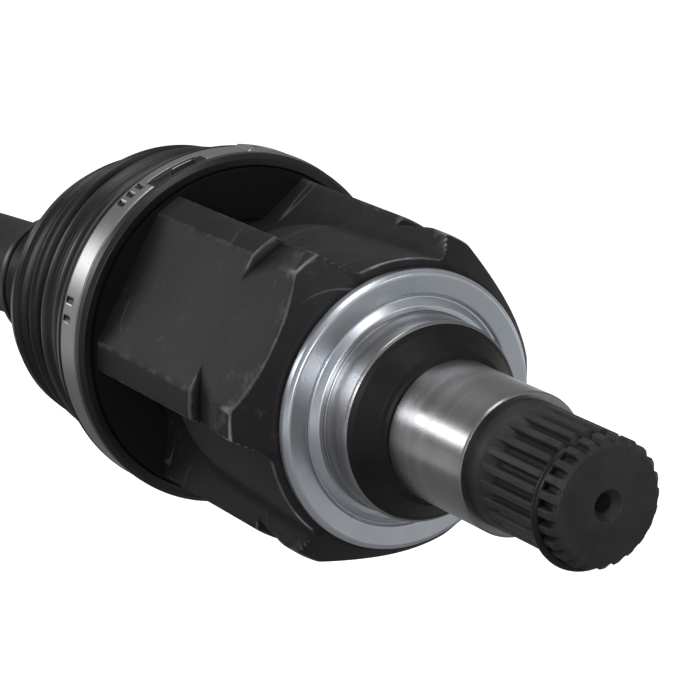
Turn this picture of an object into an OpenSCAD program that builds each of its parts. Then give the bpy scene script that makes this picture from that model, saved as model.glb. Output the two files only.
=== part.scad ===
// Constant velocity half shaft with a tripod plunging joint and a ball fixed joint.
// X runs along the gearbox stub, +X toward its free end, +Z up. The origin is on the
// axis, where the small ground journal meets the collar in front of the splines.
// The bar and the outer joint are stored swung sideways about the tripod centre.

/* [Gearbox stub] */
// Outside diameter of the stub splines
stub_spline_d = 26; // [25:0.1:27]
// Number of spline teeth on the stub
stub_teeth = 24; // [20:1:28]
// Depth of the stub spline teeth
stub_tooth_depth = 1.3; // [0.8:0.1:1.6]
// Length of the splined end, from the collar to the end face
stub_spline_len = 24; // [20:0.5:30]
// Chamfer on the end of the stub
stub_chamfer = 1.5; // [0.5:0.1:2]
// Mouth diameter of the centre drilling in both shaft ends
centre_hole_d = 6; // [4:0.5:8]
// Depth of the centre drillings
centre_hole_depth = 9; // [6:0.5:12]
// Length of the tapered collar between the journal and the splines
collar_len = 3.5; // [2.5:0.5:5]
// Diameter of the small ground journal
journal_d = 29.4; // [28.6:0.1:32]
// Length of the small ground journal
journal_len = 26.2; // [20:0.2:34]
// Diameter of the oil seal journal
seal_d = 42; // [38:0.2:43]
// Length of the oil seal journal, with the seat of the dust shield
seal_len = 10.9; // [8:0.1:14]
// Length of the press seat of the dust shield
shield_seat_len = 2.7; // [2:0.1:4]
// Length of the coned shoulder between the two journals
shoulder_len = 4.1; // [3:0.1:6]

/* [Stub circlip] */
// Wire diameter of the circlip
clip_wire_d = 1.8; // [1.4:0.1:2]
// Distance from the end face of the stub to the middle of the circlip groove
clip_setback = 5.6; // [4:0.2:8]
// Angle that the circlip covers
clip_sweep = 312; // [280:2:330]

/* [Dust shield] */
// Outside diameter of the dust shield
shield_d = 59; // [54:0.5:62]
// Sheet thickness of the dust shield
shield_sheet = 1.2; // [0.8:0.1:1.6]
// Width of the rolled rim of the dust shield
shield_rim_w = 2.4; // [1.8:0.1:3.5]

/* [Tripod housing] */
// Length of the housing from the seal journal to its open mouth
housing_len = 76.8; // [74:0.2:84]
// Turned diameter over the lobe corners
housing_d = 72.8; // [71:0.2:76]
// Distance from the axis to the flat of a lobe
lobe_flat = 33; // [32:0.2:35]
// Width across one lobe
lobe_w = 44; // [42:0.5:46]
// Corner radius of a lobe
lobe_corner_r = 6.5; // [4:0.5:8]
// Distance from the axis to the floor of the hollow between two lobes
hollow_floor = 23.5; // [23.2:0.1:25]
// Radius of the hollow between two lobes
hollow_r = 10; // [8:0.5:12]
// Wall over the outer end of a track
track_wall = 4.4; // [3.5:0.1:5]
// Diameter of the bore between the tracks
land_d = 40.4; // [39.8:0.1:40.8]
// Depth of the turned notches in the lobe corners
notch_depth = 2; // [1:0.1:2.4]

/* [Tripod] */
// Distance from the seal journal to the tripod centre, as stored
tripod_setback = 46.8; // [46:0.2:48]
// Radius of the circle that the roller centres lie on
roller_pitch = 19.5; // [19.2:0.1:19.6]
// Outside diameter of a roller
roller_d = 32; // [31:0.1:32.2]
// Width of a roller
roller_w = 9.5; // [8:0.1:9.6]
// Side clearance of a roller in its track
track_gap = 0.65; // [0.62:0.01:0.75]
// Diameter of a trunnion
trunnion_d = 17; // [16:0.1:17.4]
// Diameter of a bearing needle
needle_d = 2.4; // [2:0.05:2.5]
// Number of needles in a roller
needle_count = 23; // [16:1:24]
// Running clearance of the needles
needle_gap = 0.03; // [0.02:0.01:0.05]
// Diameter of the spider hub
hub_d = 28.4; // [27:0.1:28.6]
// Length of the spider hub
hub_len = 21; // [19:0.5:22]
// Angle that the bar is swung sideways from the stub axis, as stored
bar_swing = 10.9; // [8:0.1:12]

/* [Bar] */
// Diameter of the bar
bar_d = 22.5; // [21:0.1:22.8]
// Diameter of the splined ends of the bar
bar_spline_d = 23; // [22.8:0.1:23.4]
// Number of spline teeth on the bar ends
bar_teeth = 26; // [22:1:30]
// Distance between the centres of the two joints
joint_span = 430; // [340:5:520]

/* [Inner boot] */
// Wall of the boot under the large clamp
boot_cuff = 1.85; // [1.7:0.05:2.4]
// Wall of the boot bellows
boot_wall = 1.8; // [1.4:0.1:2.2]
// Width of the large stainless clamp
clamp_w = 6.5; // [6:0.1:7]
// Thickness of the clamp bands
clamp_t = 0.7; // [0.5:0.1:1]
// Distance from the tripod centre to the small end seat of the boot
boot_reach = 76; // [74:0.5:82]

/* [Ball joint] */
// Diameter of a ball
ball_d = 16; // [15:0.1:16.2]
// Radius of the circle that the ball centres lie on
ball_pitch = 25.5; // [25.2:0.1:25.8]
// Clearance of the balls in their tracks
ball_gap = 0.75; // [0.7:0.01:0.8]
// Gap between the spherical faces of race, cage and bell
sphere_gap = 0.3; // [0.25:0.01:0.4]
// Outside diameter of the cage sphere
cage_d = 61.8; // [61.2:0.1:62.4]
// Wall of the cage
cage_wall = 5.4; // [5:0.1:5.6]
// Width of the cage
cage_w = 25; // [24:0.5:26]
// Width of the inner race
race_w = 22; // [20:0.5:23]
// Outside diameter of the bell
bell_d = 85; // [83:0.5:88]
// Distance from the joint centre to the open mouth of the bell
bell_mouth = 17; // [16:0.5:19]

/* [Hub stem] */
// Distance from the joint centre to the bearing shoulder
stem_start = 37; // [36:0.5:42]
// Diameter of the stem splines
stem_spline_d = 28; // [26:0.1:29]
// Number of stem spline teeth
stem_teeth = 28; // [24:1:32]
// Length of the stem splines
stem_spline_len = 42; // [34:1:50]
// Diameter of the stem thread
thread_d = 22; // [20:0.5:24]
// Length of the stem thread
thread_len = 23; // [18:1:30]

/* [Outer boot] */
// Diameter over the lips of the outer boot's large end
outer_lip_d = 83; // [82.4:0.1:85]
// Length of the outer boot
outer_boot_len = 92; // [84:1:100]

/* [Hidden] */
$fn = 96;

// A cut runs this far past the face that it opens
over = 1;
// Small parts of one body keep this far apart
seat_gap = 0.02;
// The round core of a splined end stays this far under the floors between its teeth
core_ease = 0.3;

// Stations along the stub, from the origin
stub_end_x = collar_len + stub_spline_len;
clip_x = stub_end_x - clip_setback;
shoulder_x = -journal_len - shoulder_len;
seal_x = shoulder_x - seal_len;
mouth_x = seal_x - housing_len;
tripod_x = seal_x - tripod_setback;

// Press seat of the dust shield, just proud of the seal journal
shield_seat_r = seal_d / 2 + 0.25;

// Stub splines and circlip
stub_root_d = stub_spline_d - 2 * stub_tooth_depth;
clip_floor_d = stub_spline_d - 2.6 * clip_wire_d;
clip_drop = 1;

// Housing
housing_r = housing_d / 2;
front_chamfer = 7.4;
front_face_r = housing_r - 6.2;
front_x = seal_x - shield_rim_w + 1;
lobe_angles = [30, 150, 270];
track_r = roller_d / 2 + track_gap;
track_reach = lobe_flat - track_wall;
track_end_x = tripod_x + 32;
land_end_x = tripod_x + 28;
mouth_land_r = land_d / 2 + 3.6;
mouth_relief = 16;
boot_seat_len = 9;
boot_seat_r = hollow_floor + 2.1;
notch_wall_x = seal_x - 25;
notch_len = 10.5;

// Tripod
hub_r = hub_d / 2;
needle_ring = trunnion_d / 2 + needle_gap + needle_d / 2;
roller_bore_r = needle_ring + needle_d / 2 + needle_gap;
washer_t = 0.9;
washer_r = roller_bore_r + 2;
washer_in = roller_pitch + roller_w / 2 + 0.12;
trunnion_clip_t = 0.9;
trunnion_clip_in = washer_in + washer_t + seat_gap;
trunnion_groove_r = trunnion_d / 2 - 0.9;
trunnion_tip = trunnion_clip_in + trunnion_clip_t + 0.7;

// Bar
spline_depth = 0.8;
bar_core_r = bar_spline_d / 2 - spline_depth - core_ease;
snap_t = 1.6;
snap_rise = 2.2;
bar_end = hub_len / 2 + snap_t + 2.4;

// Inner boot, stations from the tripod centre toward the bar
boot_front = -mouth_x + tripod_x - 9.7;
clamp_at = boot_front + 3.4;
bend_from = boot_reach - 24;
bend_to = boot_reach - 3;
small_seat_d = bar_d + 5.6;
small_clamp_w = 5.5;
insert_len = 10.6;
insert_r = housing_r + 0.5;
boot_sides = 40;
boot_ease = 0.05;
boot_bore_r = (insert_r + boot_ease) / cos(180 / boot_sides);
boot_seat_d = 2 * (boot_bore_r + boot_cuff);
boot_lip_d = boot_seat_d + 2 * clamp_t + 0.4;

// Ball joint
ball_r = ball_d / 2;
ball_track_r = ball_r + ball_gap;
cage_in_r = cage_d / 2 - cage_wall;
race_r = cage_in_r - sphere_gap;
bell_in_r = cage_d / 2 + sphere_gap;
bell_r = bell_d / 2;
ball_count = 6;
race_end = race_w / 2 + snap_t + 2.4;

// Outer boot, stations from the ball joint centre toward the bar
outer_boot_wall = 1.7;
outer_clamp_w = 7;
outer_seat_len = 12;
outer_small_seat_d = bar_d + 5.2;

black = [0.07, 0.07, 0.075];
rubber = [0.05, 0.05, 0.052];
steel = [0.62, 0.62, 0.63];
zinc = [0.7, 0.75, 0.8];

// Turns a profile of [radius, station] points round the X axis
module turned(profile, sweep = 360) {
    rotate([0, 90, 0])
        rotate_extrude(angle = sweep)
            polygon(profile);
}

// Carries a section in the YZ plane along X
module along_x(from, to) {
    translate([from, 0, 0])
        rotate([90, 0, 90])
            linear_extrude(to - from)
                children();
}

// Ring with a rectangular section, from its two radii and two stations
module ring(inner, outer, from, to) {
    turned([[inner, from], [outer, from], [outer, to], [inner, to]]);
}

// Cylinder along X
module rod(r, from, to) {
    translate([from, 0, 0])
        rotate([0, 90, 0])
            cylinder(r = r, h = to - from);
}

// Section of a splined shaft with flat topped teeth
module spline_section(d, depth, teeth) {
    root = d / 2 - depth;
    pitch = 360 / teeth;
    polygon([for (i = [0:teeth - 1], k = [[root, -0.36], [d / 2, -0.2], [d / 2, 0.2], [root, 0.36]])
        k[0] * [cos((i + k[1]) * pitch), sin((i + k[1]) * pitch)]]);
}

// Centre drilling with a coned mouth, its end face at station 0 and its body toward -X
module centre_drilling() {
    turned([
        [0, over], [centre_hole_d / 2 + over * 0.6, over], [centre_hole_d / 2, 0],
        [centre_hole_d * 0.32, -centre_hole_d * 0.3], [centre_hole_d * 0.32, -centre_hole_depth + 1.2],
        [0, -centre_hole_depth]
    ]);
}

// Puts a piece that is modelled in line with the stub onto the swung bar
module on_bar() {
    translate([tripod_x, 0, 0])
        rotate([0, 0, bar_swing])
            translate([-tripod_x, 0, 0])
                children();
}

// Puts a piece that is modelled round the ball joint's centre, stem toward +X, in its place
module at_ball_joint() {
    on_bar()
        translate([tripod_x - joint_span, 0, 0])
            rotate([0, 0, 180])
                children();
}

// Puts a piece that is modelled on the Z axis onto one of the three trunnions
module on_trunnion(i) {
    on_bar()
        translate([tripod_x, 0, 0])
            rotate([lobe_angles[i] - 90, 0, 0])
                children();
}

// One lobe of the housing, pointing along +X of the section
module lobe_section() {
    half = lobe_w / 2;
    translate([0, -half])
        square([lobe_flat - lobe_corner_r, lobe_w]);
    translate([0, lobe_corner_r - half])
        square([lobe_flat, lobe_w - 2 * lobe_corner_r]);
    for (s = [-1, 1])
        translate([lobe_flat - lobe_corner_r, s * (half - lobe_corner_r)])
            circle(r = lobe_corner_r);
}

// Hollow between two lobes: a round floor that opens out in two tangent walls
module hollow_section() {
    mid = hollow_floor + hollow_r;
    open = 52;
    run = housing_r;
    touch = [mid - hollow_r * sin(open), hollow_r * cos(open)];
    far = touch + run * [cos(open), sin(open)];
    translate([mid, 0])
        circle(r = hollow_r);
    polygon([touch, far, [far[0], -far[1]], [touch[0], -touch[1]]]);
}

module housing_section() {
    difference() {
        union() {
            circle(r = hollow_floor + 1);
            for (a = lobe_angles)
                rotate(a)
                    lobe_section();
        }
        for (a = lobe_angles)
            rotate(a + 60)
                hollow_section();
    }
}

// Solid of revolution that closes the hollows toward the front and under the boot
module housing_core() {
    fade = seal_x - 55;
    turned([
        [0, mouth_x], [boot_seat_r, mouth_x], [boot_seat_r, mouth_x + boot_seat_len],
        [hollow_floor - over, mouth_x + boot_seat_len + 2.5], [hollow_floor - over, fade],
        [hollow_floor + 1, fade + 2], [hollow_floor + 4, fade + 6.5], [hollow_floor + 5.6, fade + 11],
        [hollow_floor + 6.2, fade + 18], [hollow_floor + 6.8, fade + 30], [hollow_floor + 7.3, fade + 42],
        [hollow_floor + 7.7, seal_x], [0, seal_x]
    ]);
}

// Turned outside of the housing, with a wide chamfer at its front
module housing_envelope() {
    turned([
        [0, mouth_x], [housing_r - 1.2, mouth_x], [housing_r, mouth_x + 1.2],
        [housing_r, front_x - front_chamfer], [front_face_r, front_x],
        [shield_seat_r + 1.4, front_x], [shield_seat_r + 1.4, seal_x], [0, seal_x]
    ]);
}

// One ball track for a roller, clipped by the wall at its outer end
module track_section() {
    intersection() {
        translate([roller_pitch, 0])
            circle(r = track_r);
        translate([0, -housing_r])
            square([track_reach, housing_d]);
    }
}

module stub() {
    shoulder_r = seal_d / 2 - 1.5;
    turned([
        [0, seal_x - over], [shield_seat_r, seal_x - over], [shield_seat_r, seal_x + shield_seat_len],
        [seal_d / 2, seal_x + shield_seat_len], [seal_d / 2, shoulder_x - 1.2],
        [shoulder_r, shoulder_x], [journal_d / 2 + 1.4, -journal_len - 0.4], [journal_d / 2 + 0.3, -journal_len],
        [journal_d / 2 - 0.3, -journal_len + 0.5], [journal_d / 2 - 0.3, -journal_len + 1.1],
        [journal_d / 2, -journal_len + 1.4], [journal_d / 2, 0], [journal_d / 2 - 0.3, 0],
        [stub_root_d / 2 - core_ease, collar_len + 1], [0, collar_len + 1]
    ]);
    intersection() {
        along_x(0, stub_end_x)
            spline_section(stub_spline_d, stub_tooth_depth, stub_teeth);
        turned([
            [0, 0], [stub_spline_d / 2, 0], [stub_spline_d / 2, stub_end_x - stub_chamfer],
            [stub_spline_d / 2 - stub_chamfer, stub_end_x], [0, stub_end_x]
        ]);
    }
}

module inner_housing() {
    color(black)
        difference() {
            union() {
                intersection() {
                    housing_envelope();
                    union() {
                        along_x(mouth_x, seal_x)
                            housing_section();
                        housing_core();
                    }
                }
                stub();
            }
            for (a = lobe_angles)
                along_x(mouth_x - over, track_end_x)
                    rotate(a)
                        track_section();
            rod(land_d / 2, mouth_x - over, land_end_x);
            turned([
                [0, mouth_x - over], [mouth_land_r, mouth_x - over], [mouth_land_r, mouth_x],
                [land_d / 2, mouth_x + mouth_relief], [0, mouth_x + mouth_relief]
            ]);
            turned([
                [housing_r - notch_depth, notch_wall_x], [housing_r + over, notch_wall_x],
                [housing_r + over, notch_wall_x + notch_len], [housing_r, notch_wall_x + notch_len]
            ]);
            translate([stub_end_x, 0, 0])
                centre_drilling();
            ring(clip_floor_d / 2, stub_spline_d / 2 + over, clip_x - clip_wire_d * 0.6, clip_x + clip_wire_d * 0.6);
        }
}

module dust_shield() {
    bore = shield_seat_r + seat_gap;
    rim = shield_d / 2;
    back = seal_x + 0.05;
    lip = back + shield_sheet;
    color(zinc)
        turned([
            [bore, back], [bore, seal_x + shield_seat_len - 0.1], [bore + 0.9, seal_x + shield_seat_len - 0.1],
            [bore + shield_sheet, lip + 0.7], [bore + shield_sheet + 0.8, lip + 0.1], [bore + 3.4, lip - 0.4],
            [bore + 4, lip - 0.1], [rim - 1.6, lip + 0.5], [rim - 0.7, lip + 0.4], [rim, lip - 0.3],
            [rim, lip - shield_rim_w], [rim - shield_sheet, lip - shield_rim_w],
            [rim - shield_sheet, lip - 0.9], [bore + 4.4, back + 0.1], [bore + 3.6, back]
        ]);
}

module stub_circlip() {
    middle = stub_spline_d / 2 - 0.4;
    color(steel)
        translate([clip_x, 0, -clip_drop])
            rotate([0, 90, 0])
                rotate([0, 0, 180 + (360 - clip_sweep) / 2])
                    rotate_extrude(angle = clip_sweep)
                        translate([middle, 0])
                            circle(d = clip_wire_d);
}

// Moulded ring that turns the lobed mouth into a round seat for the boot
module boot_insert() {
    color(black)
        difference() {
            rod(insert_r, mouth_x + 0.2, mouth_x + 0.2 + insert_len);
            intersection() {
                rod(housing_r + seat_gap, mouth_x, mouth_x + insert_len + over);
                union() {
                    along_x(mouth_x - over, mouth_x + insert_len + over)
                        scale((housing_r + 0.03) / housing_r)
                            housing_section();
                    rod(boot_seat_r + seat_gap, mouth_x - over, mouth_x + insert_len + over);
                }
            }
        }
}

// Share of the swing that the boot has taken up at a station, easing in and out
function swing_share(s) =
    let (q = min(1, max(0, (s - bend_from) / (bend_to - bend_from))))
    q * q * (3 - 2 * q);

// Ring of a bent boot: a circle across the axis, turned about the tripod centre
function bent_ring(s, r, sides) =
    let (a = bar_swing * swing_share(s))
    [for (i = [0:sides - 1])
        let (t = 360 * i / sides, y = r * cos(t), z = r * sin(t))
        [tripod_x - s * cos(a) + y * sin(a), -s * sin(a) - y * cos(a), z]];

// Closed skin over a loop of rings, each a list of points
module ring_skin(rings) {
    count = len(rings);
    sides = len(rings[0]);
    polyhedron(
        points = [for (r = rings) each r],
        faces = [for (j = [0:count - 1], i = [0:sides - 1])
            let (k = (j + 1) % count, n = (i + 1) % sides)
            each [[j * sides + i, k * sides + i, k * sides + n],
                [j * sides + i, k * sides + n, j * sides + n]]]
    );
}

module inner_boot() {
    lip = boot_lip_d / 2;
    seat = boot_seat_d / 2;
    tail = small_seat_d / 2;
    bore = (bar_d / 2 + boot_ease) / cos(180 / boot_sides);
    c = clamp_at + clamp_w;
    b = boot_reach;
    folds = b - c;
    // Stations as shares of the bellows, with the rise of the outside as a share of the end rises
    folded = [
        [0.087, 0.953], [0.118, 0.836], [0.162, 0.813], [0.197, 0.852], [0.223, 0.864], [0.253, 0.848],
        [0.275, 0.833], [0.301, 0.864], [0.336, 0.879], [0.371, 0.844], [0.41, 0.611], [0.437, 0.58],
        [0.459, 0.681], [0.485, 0.813], [0.511, 0.836], [0.546, 0.79], [0.581, 0.681], [0.603, 0.67],
        [0.629, 0.712], [0.664, 0.704], [0.716, 0.642], [0.782, 0.518], [0.86, 0.309], [0.93, 0.13],
        [0.974, 0.049]
    ];
    outside = [for (p = folded) [c + p[0] * folds, tail + p[1] * (lip - tail)]];
    inside = [for (k = [24, 23, 22, 21, 19, 17, 16, 14, 11, 10, 8, 6, 4, 2, 1])
        outside[k] - boot_wall * (k > 20 ? [0.9, 0.4] : [0, 1])];
    loop = concat(
        [[boot_front, boot_bore_r], [boot_front, lip - 0.8], [boot_front + 0.7, lip], [clamp_at - 0.7, lip],
            [clamp_at - 0.2, seat], [c + 0.2, seat], [c + 0.7, lip - 0.1]],
        outside,
        [[b - 0.8, tail + 0.9], [b, tail + 0.9], [b + 0.4, tail], [b + small_clamp_w + 0.8, tail],
            [b + small_clamp_w + 1.2, tail + 0.9], [b + small_clamp_w + 3, tail + 0.7],
            [b + small_clamp_w + 3.2, bore], [b - 2, bore]],
        inside,
        [[c + 1.2, boot_bore_r]]
    );
    color(rubber)
        ring_skin([for (p = loop) bent_ring(p[0], p[1], boot_sides)]);
}

// Clamp band with a raised lap where its ends pass each other
module clamp_band(inner, w, at, lap_angle) {
    ring(inner, inner + clamp_t, at, at + w);
    rotate([lap_angle, 0, 0])
        difference() {
            turned([[inner + clamp_t * 0.5, at + 0.4], [inner + 2 * clamp_t, at + 0.4],
                [inner + 2 * clamp_t, at + w - 0.4], [inner + clamp_t * 0.5, at + w - 0.4]], 38);
        }
}

module inner_large_clamp() {
    color(steel)
        translate([tripod_x, 0, 0])
            rotate([0, 0, 180])
                clamp_band(boot_seat_d / 2 + seat_gap, clamp_w, clamp_at, 135);
}

module inner_small_clamp() {
    color(steel)
        on_bar()
            translate([tripod_x, 0, 0])
                rotate([0, 0, 180])
                    clamp_band(small_seat_d / 2 + seat_gap, small_clamp_w - 0.4, boot_reach + 0.8, 100);
}

module spider() {
    color(steel)
        difference() {
            union() {
                on_bar()
                    rod(hub_r, tripod_x - hub_len / 2, tripod_x + hub_len / 2);
                for (i = [0:2])
                    on_trunnion(i) {
                        cylinder(r = trunnion_d / 2, h = trunnion_tip - 0.7);
                        cylinder(r = trunnion_d / 2 - 0.7, h = trunnion_tip);
                        cylinder(r = trunnion_d / 2 + 1.5, h = roller_pitch - roller_w / 2 - 0.1);
                    }
            }
            on_bar()
                rod(bar_spline_d / 2 + seat_gap, tripod_x - hub_len, tripod_x + hub_len);
            for (i = [0:2])
                on_trunnion(i)
                    translate([0, 0, trunnion_clip_in - seat_gap])
                        difference() {
                            cylinder(r = trunnion_d, h = trunnion_clip_t + 2 * seat_gap);
                            cylinder(r = trunnion_groove_r, h = trunnion_clip_t + 2 * seat_gap);
                        }
        }
}

// Roller with a spherical outside, centred on its trunnion
module roller(i) {
    half = roller_w / 2;
    color(steel)
        on_trunnion(i)
            translate([0, 0, roller_pitch])
                difference() {
                    intersection() {
                        sphere(d = roller_d);
                        translate([0, 0, -half])
                            cylinder(r = roller_d, h = roller_w);
                    }
                    translate([0, 0, -roller_w])
                        cylinder(r = roller_bore_r, h = 2 * roller_w);
                }
}

module roller_1() { roller(0); }
module roller_2() { roller(1); }
module roller_3() { roller(2); }

module needle_set(i) {
    needle_len = roller_w - 0.4;
    color(steel)
        on_trunnion(i)
            for (k = [0:needle_count - 1])
                rotate([0, 0, 360 * k / needle_count])
                    translate([needle_ring, 0, roller_pitch - needle_len / 2])
                        cylinder(d = needle_d, h = needle_len, $fn = 24);
}

module needle_set_1() { needle_set(0); }
module needle_set_2() { needle_set(1); }
module needle_set_3() { needle_set(2); }

module trunnion_washers() {
    color(steel)
        for (i = [0:2])
            on_trunnion(i)
                translate([0, 0, washer_in])
                    difference() {
                        cylinder(r = washer_r, h = washer_t);
                        translate([0, 0, -over])
                            cylinder(r = trunnion_d / 2 + seat_gap, h = washer_t + 2 * over);
                    }
}

module trunnion_clips() {
    color(steel)
        for (i = [0:2])
            on_trunnion(i)
                translate([0, 0, trunnion_clip_in])
                    rotate_extrude(angle = 320)
                        translate([trunnion_groove_r + seat_gap, 0])
                            square([2.1, trunnion_clip_t]);
}

// Square section snap ring round the bar's axis, between two stations
module snap_ring(from) {
    turned([
        [bar_core_r + seat_gap, from], [bar_core_r + snap_rise, from],
        [bar_core_r + snap_rise, from + snap_t], [bar_core_r + seat_gap, from + snap_t]
    ], 325);
}

module spider_snap_rings() {
    color(steel)
        on_bar()
            for (x = [tripod_x + hub_len / 2 + seat_gap, tripod_x - hub_len / 2 - snap_t - seat_gap])
                snap_ring(x);
}

module race_snap_ring() {
    color(steel)
        at_ball_joint()
            snap_ring(race_w / 2 + seat_gap);
}

module shaft_bar() {
    far = -joint_span - race_end;
    inner_run = -hub_len / 2 - 8;
    outer_run = -joint_span + race_w / 2 + 8;
    groove_w = snap_t + 2 * seat_gap;
    color(black)
        on_bar()
            translate([tripod_x, 0, 0])
                difference() {
                    union() {
                        turned([
                            [0, far + 2], [bar_core_r, far + 2], [bar_core_r, outer_run - 2],
                            [bar_d / 2, outer_run + 4], [bar_d / 2, inner_run - 4],
                            [bar_core_r, inner_run + 2], [bar_core_r, bar_end - 2], [0, bar_end - 2]
                        ]);
                        bar_spline(far, outer_run, true);
                        bar_spline(inner_run, bar_end, false);
                    }
                    for (x = [hub_len / 2, -hub_len / 2 - groove_w, -joint_span - race_w / 2 - groove_w])
                        ring(bar_core_r, bar_spline_d, x, x + groove_w);
                }
}

// Splined end of the bar, chamfered at the end where its tip is
module bar_spline(from, to, tip_first) {
    chamfer = 1.3;
    crest = bar_spline_d / 2 + 0.1;
    tip = crest - chamfer;
    intersection() {
        along_x(from, to)
            spline_section(bar_spline_d, spline_depth, bar_teeth);
        turned([
            [0, from - 0.1], [tip_first ? tip : crest, from - 0.1], [crest, from + (tip_first ? chamfer : 0)],
            [crest, to - (tip_first ? 0 : chamfer)], [tip_first ? crest : tip, to + 0.1], [0, to + 0.1]
        ]);
    }
}

// Ball track: part of a torus in the plane of the joint's axis, for the ball at one angle
module ball_track(angle, from, to) {
    rotate([angle, 0, 0])
        rotate([90, 0, 0])
            rotate([0, 0, from])
                rotate_extrude(angle = to - from, $fn = 120)
                    translate([ball_pitch, 0])
                        circle(r = ball_track_r);
}

module inner_race() {
    color(steel)
        at_ball_joint()
            difference() {
                intersection() {
                    sphere(r = race_r);
                    rod(race_r + over, -race_w / 2, race_w / 2);
                }
                rod(bar_spline_d / 2 + seat_gap, -race_w, race_w);
                for (i = [0:ball_count - 1])
                    ball_track(i * 360 / ball_count, 40, 140);
            }
}

module cage() {
    window_w = 19;
    color(steel)
        at_ball_joint()
            difference() {
                intersection() {
                    sphere(d = cage_d);
                    rod(cage_d, -cage_w / 2, cage_w / 2);
                }
                sphere(r = cage_in_r);
                for (i = [0:ball_count - 1])
                    rotate([i * 360 / ball_count, 0, 0])
                        translate([-ball_r - seat_gap, -window_w / 2, 0])
                            cube([ball_d + 2 * seat_gap, window_w, cage_d]);
            }
}

module balls() {
    color(steel)
        at_ball_joint()
            for (i = [0:ball_count - 1])
                rotate([i * 360 / ball_count, 0, 0])
                    translate([0, 0, ball_pitch])
                        sphere(d = ball_d);
}

// Inside of the bell: a sphere that opens through a coned mouth of the given radius
module bell_cavity(mouth_r) {
    rim = 0.5;
    rotate([0, 90, 0])
        rotate_extrude()
            intersection() {
                union() {
                    circle(r = bell_in_r);
                    polygon([
                        [-over, 0], [bell_in_r - 7.2, 5 - bell_mouth],
                        [mouth_r, -bell_mouth - rim], [-over, -bell_mouth - rim]
                    ]);
                }
                translate([0, -bell_mouth - rim])
                    square(bell_d);
            }
}

module outer_housing() {
    seat = outer_lip_d / 2 - outer_boot_wall - 0.9;
    stem_r = stem_spline_d / 2;
    spline_end = stem_start + stem_spline_len;
    stem_end = spline_end + thread_len;
    stem_root = stem_r - 1 - core_ease;
    color(black)
        at_ball_joint()
            difference() {
                union() {
                    turned([
                        [0, -bell_mouth], [seat - 1, -bell_mouth], [seat, -bell_mouth + 1],
                        [seat, -bell_mouth + outer_seat_len], [bell_r - 0.8, -bell_mouth + outer_seat_len],
                        [bell_r, -bell_mouth + outer_seat_len + 0.8], [bell_r, 14], [bell_r - 1.2, 18],
                        [bell_r - 4.5, 23], [bell_r - 10.5, 29], [bell_r - 13, stem_start - 4],
                        [bell_r - 13, stem_start - 0.6], [bell_r - 13.6, stem_start], [stem_r + 4, stem_start],
                        [stem_r + 1.2, stem_start + 0.6], [stem_r, stem_start + 2], [stem_r, stem_start + 5],
                        [stem_root, stem_start + 7], [stem_root, spline_end - 1.5], [thread_d / 2 - 1, spline_end],
                        [thread_d / 2 - 1, spline_end + 1.5], [thread_d / 2, spline_end + 2.4],
                        [thread_d / 2, stem_end - 1.6], [thread_d / 2 - 1.6, stem_end], [0, stem_end]
                    ]);
                    intersection() {
                        along_x(stem_start + 1, spline_end)
                            spline_section(stem_spline_d, 1, stem_teeth);
                        turned([
                            [0, stem_start + 1], [stem_r, stem_start + 1], [stem_r, spline_end - 2.4],
                            [stem_r - 1.4, spline_end - 1], [0, spline_end - 1]
                        ]);
                    }
                }
                bell_cavity(seat - 3);
                for (i = [0:ball_count - 1])
                    ball_track(i * 360 / ball_count, 48, 150);
                translate([stem_end, 0, 0])
                    centre_drilling();
            }
}

module outer_boot() {
    seat = outer_lip_d / 2 - outer_boot_wall - 0.9 + 0.05;
    lip = outer_lip_d / 2;
    tail = outer_small_seat_d / 2;
    bore = bar_d / 2 + boot_ease;
    start = bell_mouth - outer_seat_len + 0.4;
    fold_from = bell_mouth + 2.5;
    fold_to = outer_boot_len - 14;
    folds = 5;
    pitch = (fold_to - fold_from) / folds;
    last = folds - 1;
    crest = function (i) lip - 4.5 + i / last * (tail + 10.45 - lip);
    root = function (i) lip - 11 + i / folds * (tail + 10.7 - lip);
    outside = [for (i = [0:folds - 1]) each [
        [fold_from + (i + 0.12) * pitch, root(i) + 1.6], [fold_from + (i + 0.42) * pitch, crest(i) - 0.5],
        [fold_from + (i + 0.5) * pitch, crest(i)], [fold_from + (i + 0.58) * pitch, crest(i) - 0.5],
        [fold_from + (i + 0.88) * pitch, root(i + 1) + 1], [fold_from + (i + 1) * pitch, root(i + 1)]
    ]];
    inside = [for (k = [len(outside) - 1:-1:0]) [outside[k][0], outside[k][1] - outer_boot_wall]];
    loop = concat(
        [[start, seat], [start, lip - 0.6], [start + 0.6, lip], [start + 1.4, lip], [start + 1.8, lip - 0.9],
            [start + 2.2 + outer_clamp_w, lip - 0.9], [start + 2.6 + outer_clamp_w, lip], [fold_from - 2, lip],
            [fold_from - 0.6, lip - 2]],
        outside,
        [[fold_to + 3, tail], [fold_to + 4, tail + 0.9], [fold_to + 5, tail + 0.9], [fold_to + 5.4, tail],
            [outer_boot_len - 1.6, tail], [outer_boot_len - 1.2, tail + 0.9], [outer_boot_len, tail + 0.8],
            [outer_boot_len, bore], [fold_to + 2, bore]],
        inside,
        [[fold_from - 1, seat - 2.9], [bell_mouth + 0.3, seat]]
    );
    color(rubber)
        at_ball_joint()
            turned([for (p = loop) [p[1], -p[0]]]);
}

module outer_large_clamp() {
    at = bell_mouth - outer_seat_len + 0.4 + 2;
    color(steel)
        at_ball_joint()
            rotate([0, 0, 180])
                clamp_band(outer_lip_d / 2 - 0.9 + seat_gap, outer_clamp_w, at, 40);
}

module outer_small_clamp() {
    color(steel)
        at_ball_joint()
            rotate([0, 0, 180])
                clamp_band(outer_small_seat_d / 2 + seat_gap, 6.4, outer_boot_len - 8.4, 200);
}

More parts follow.
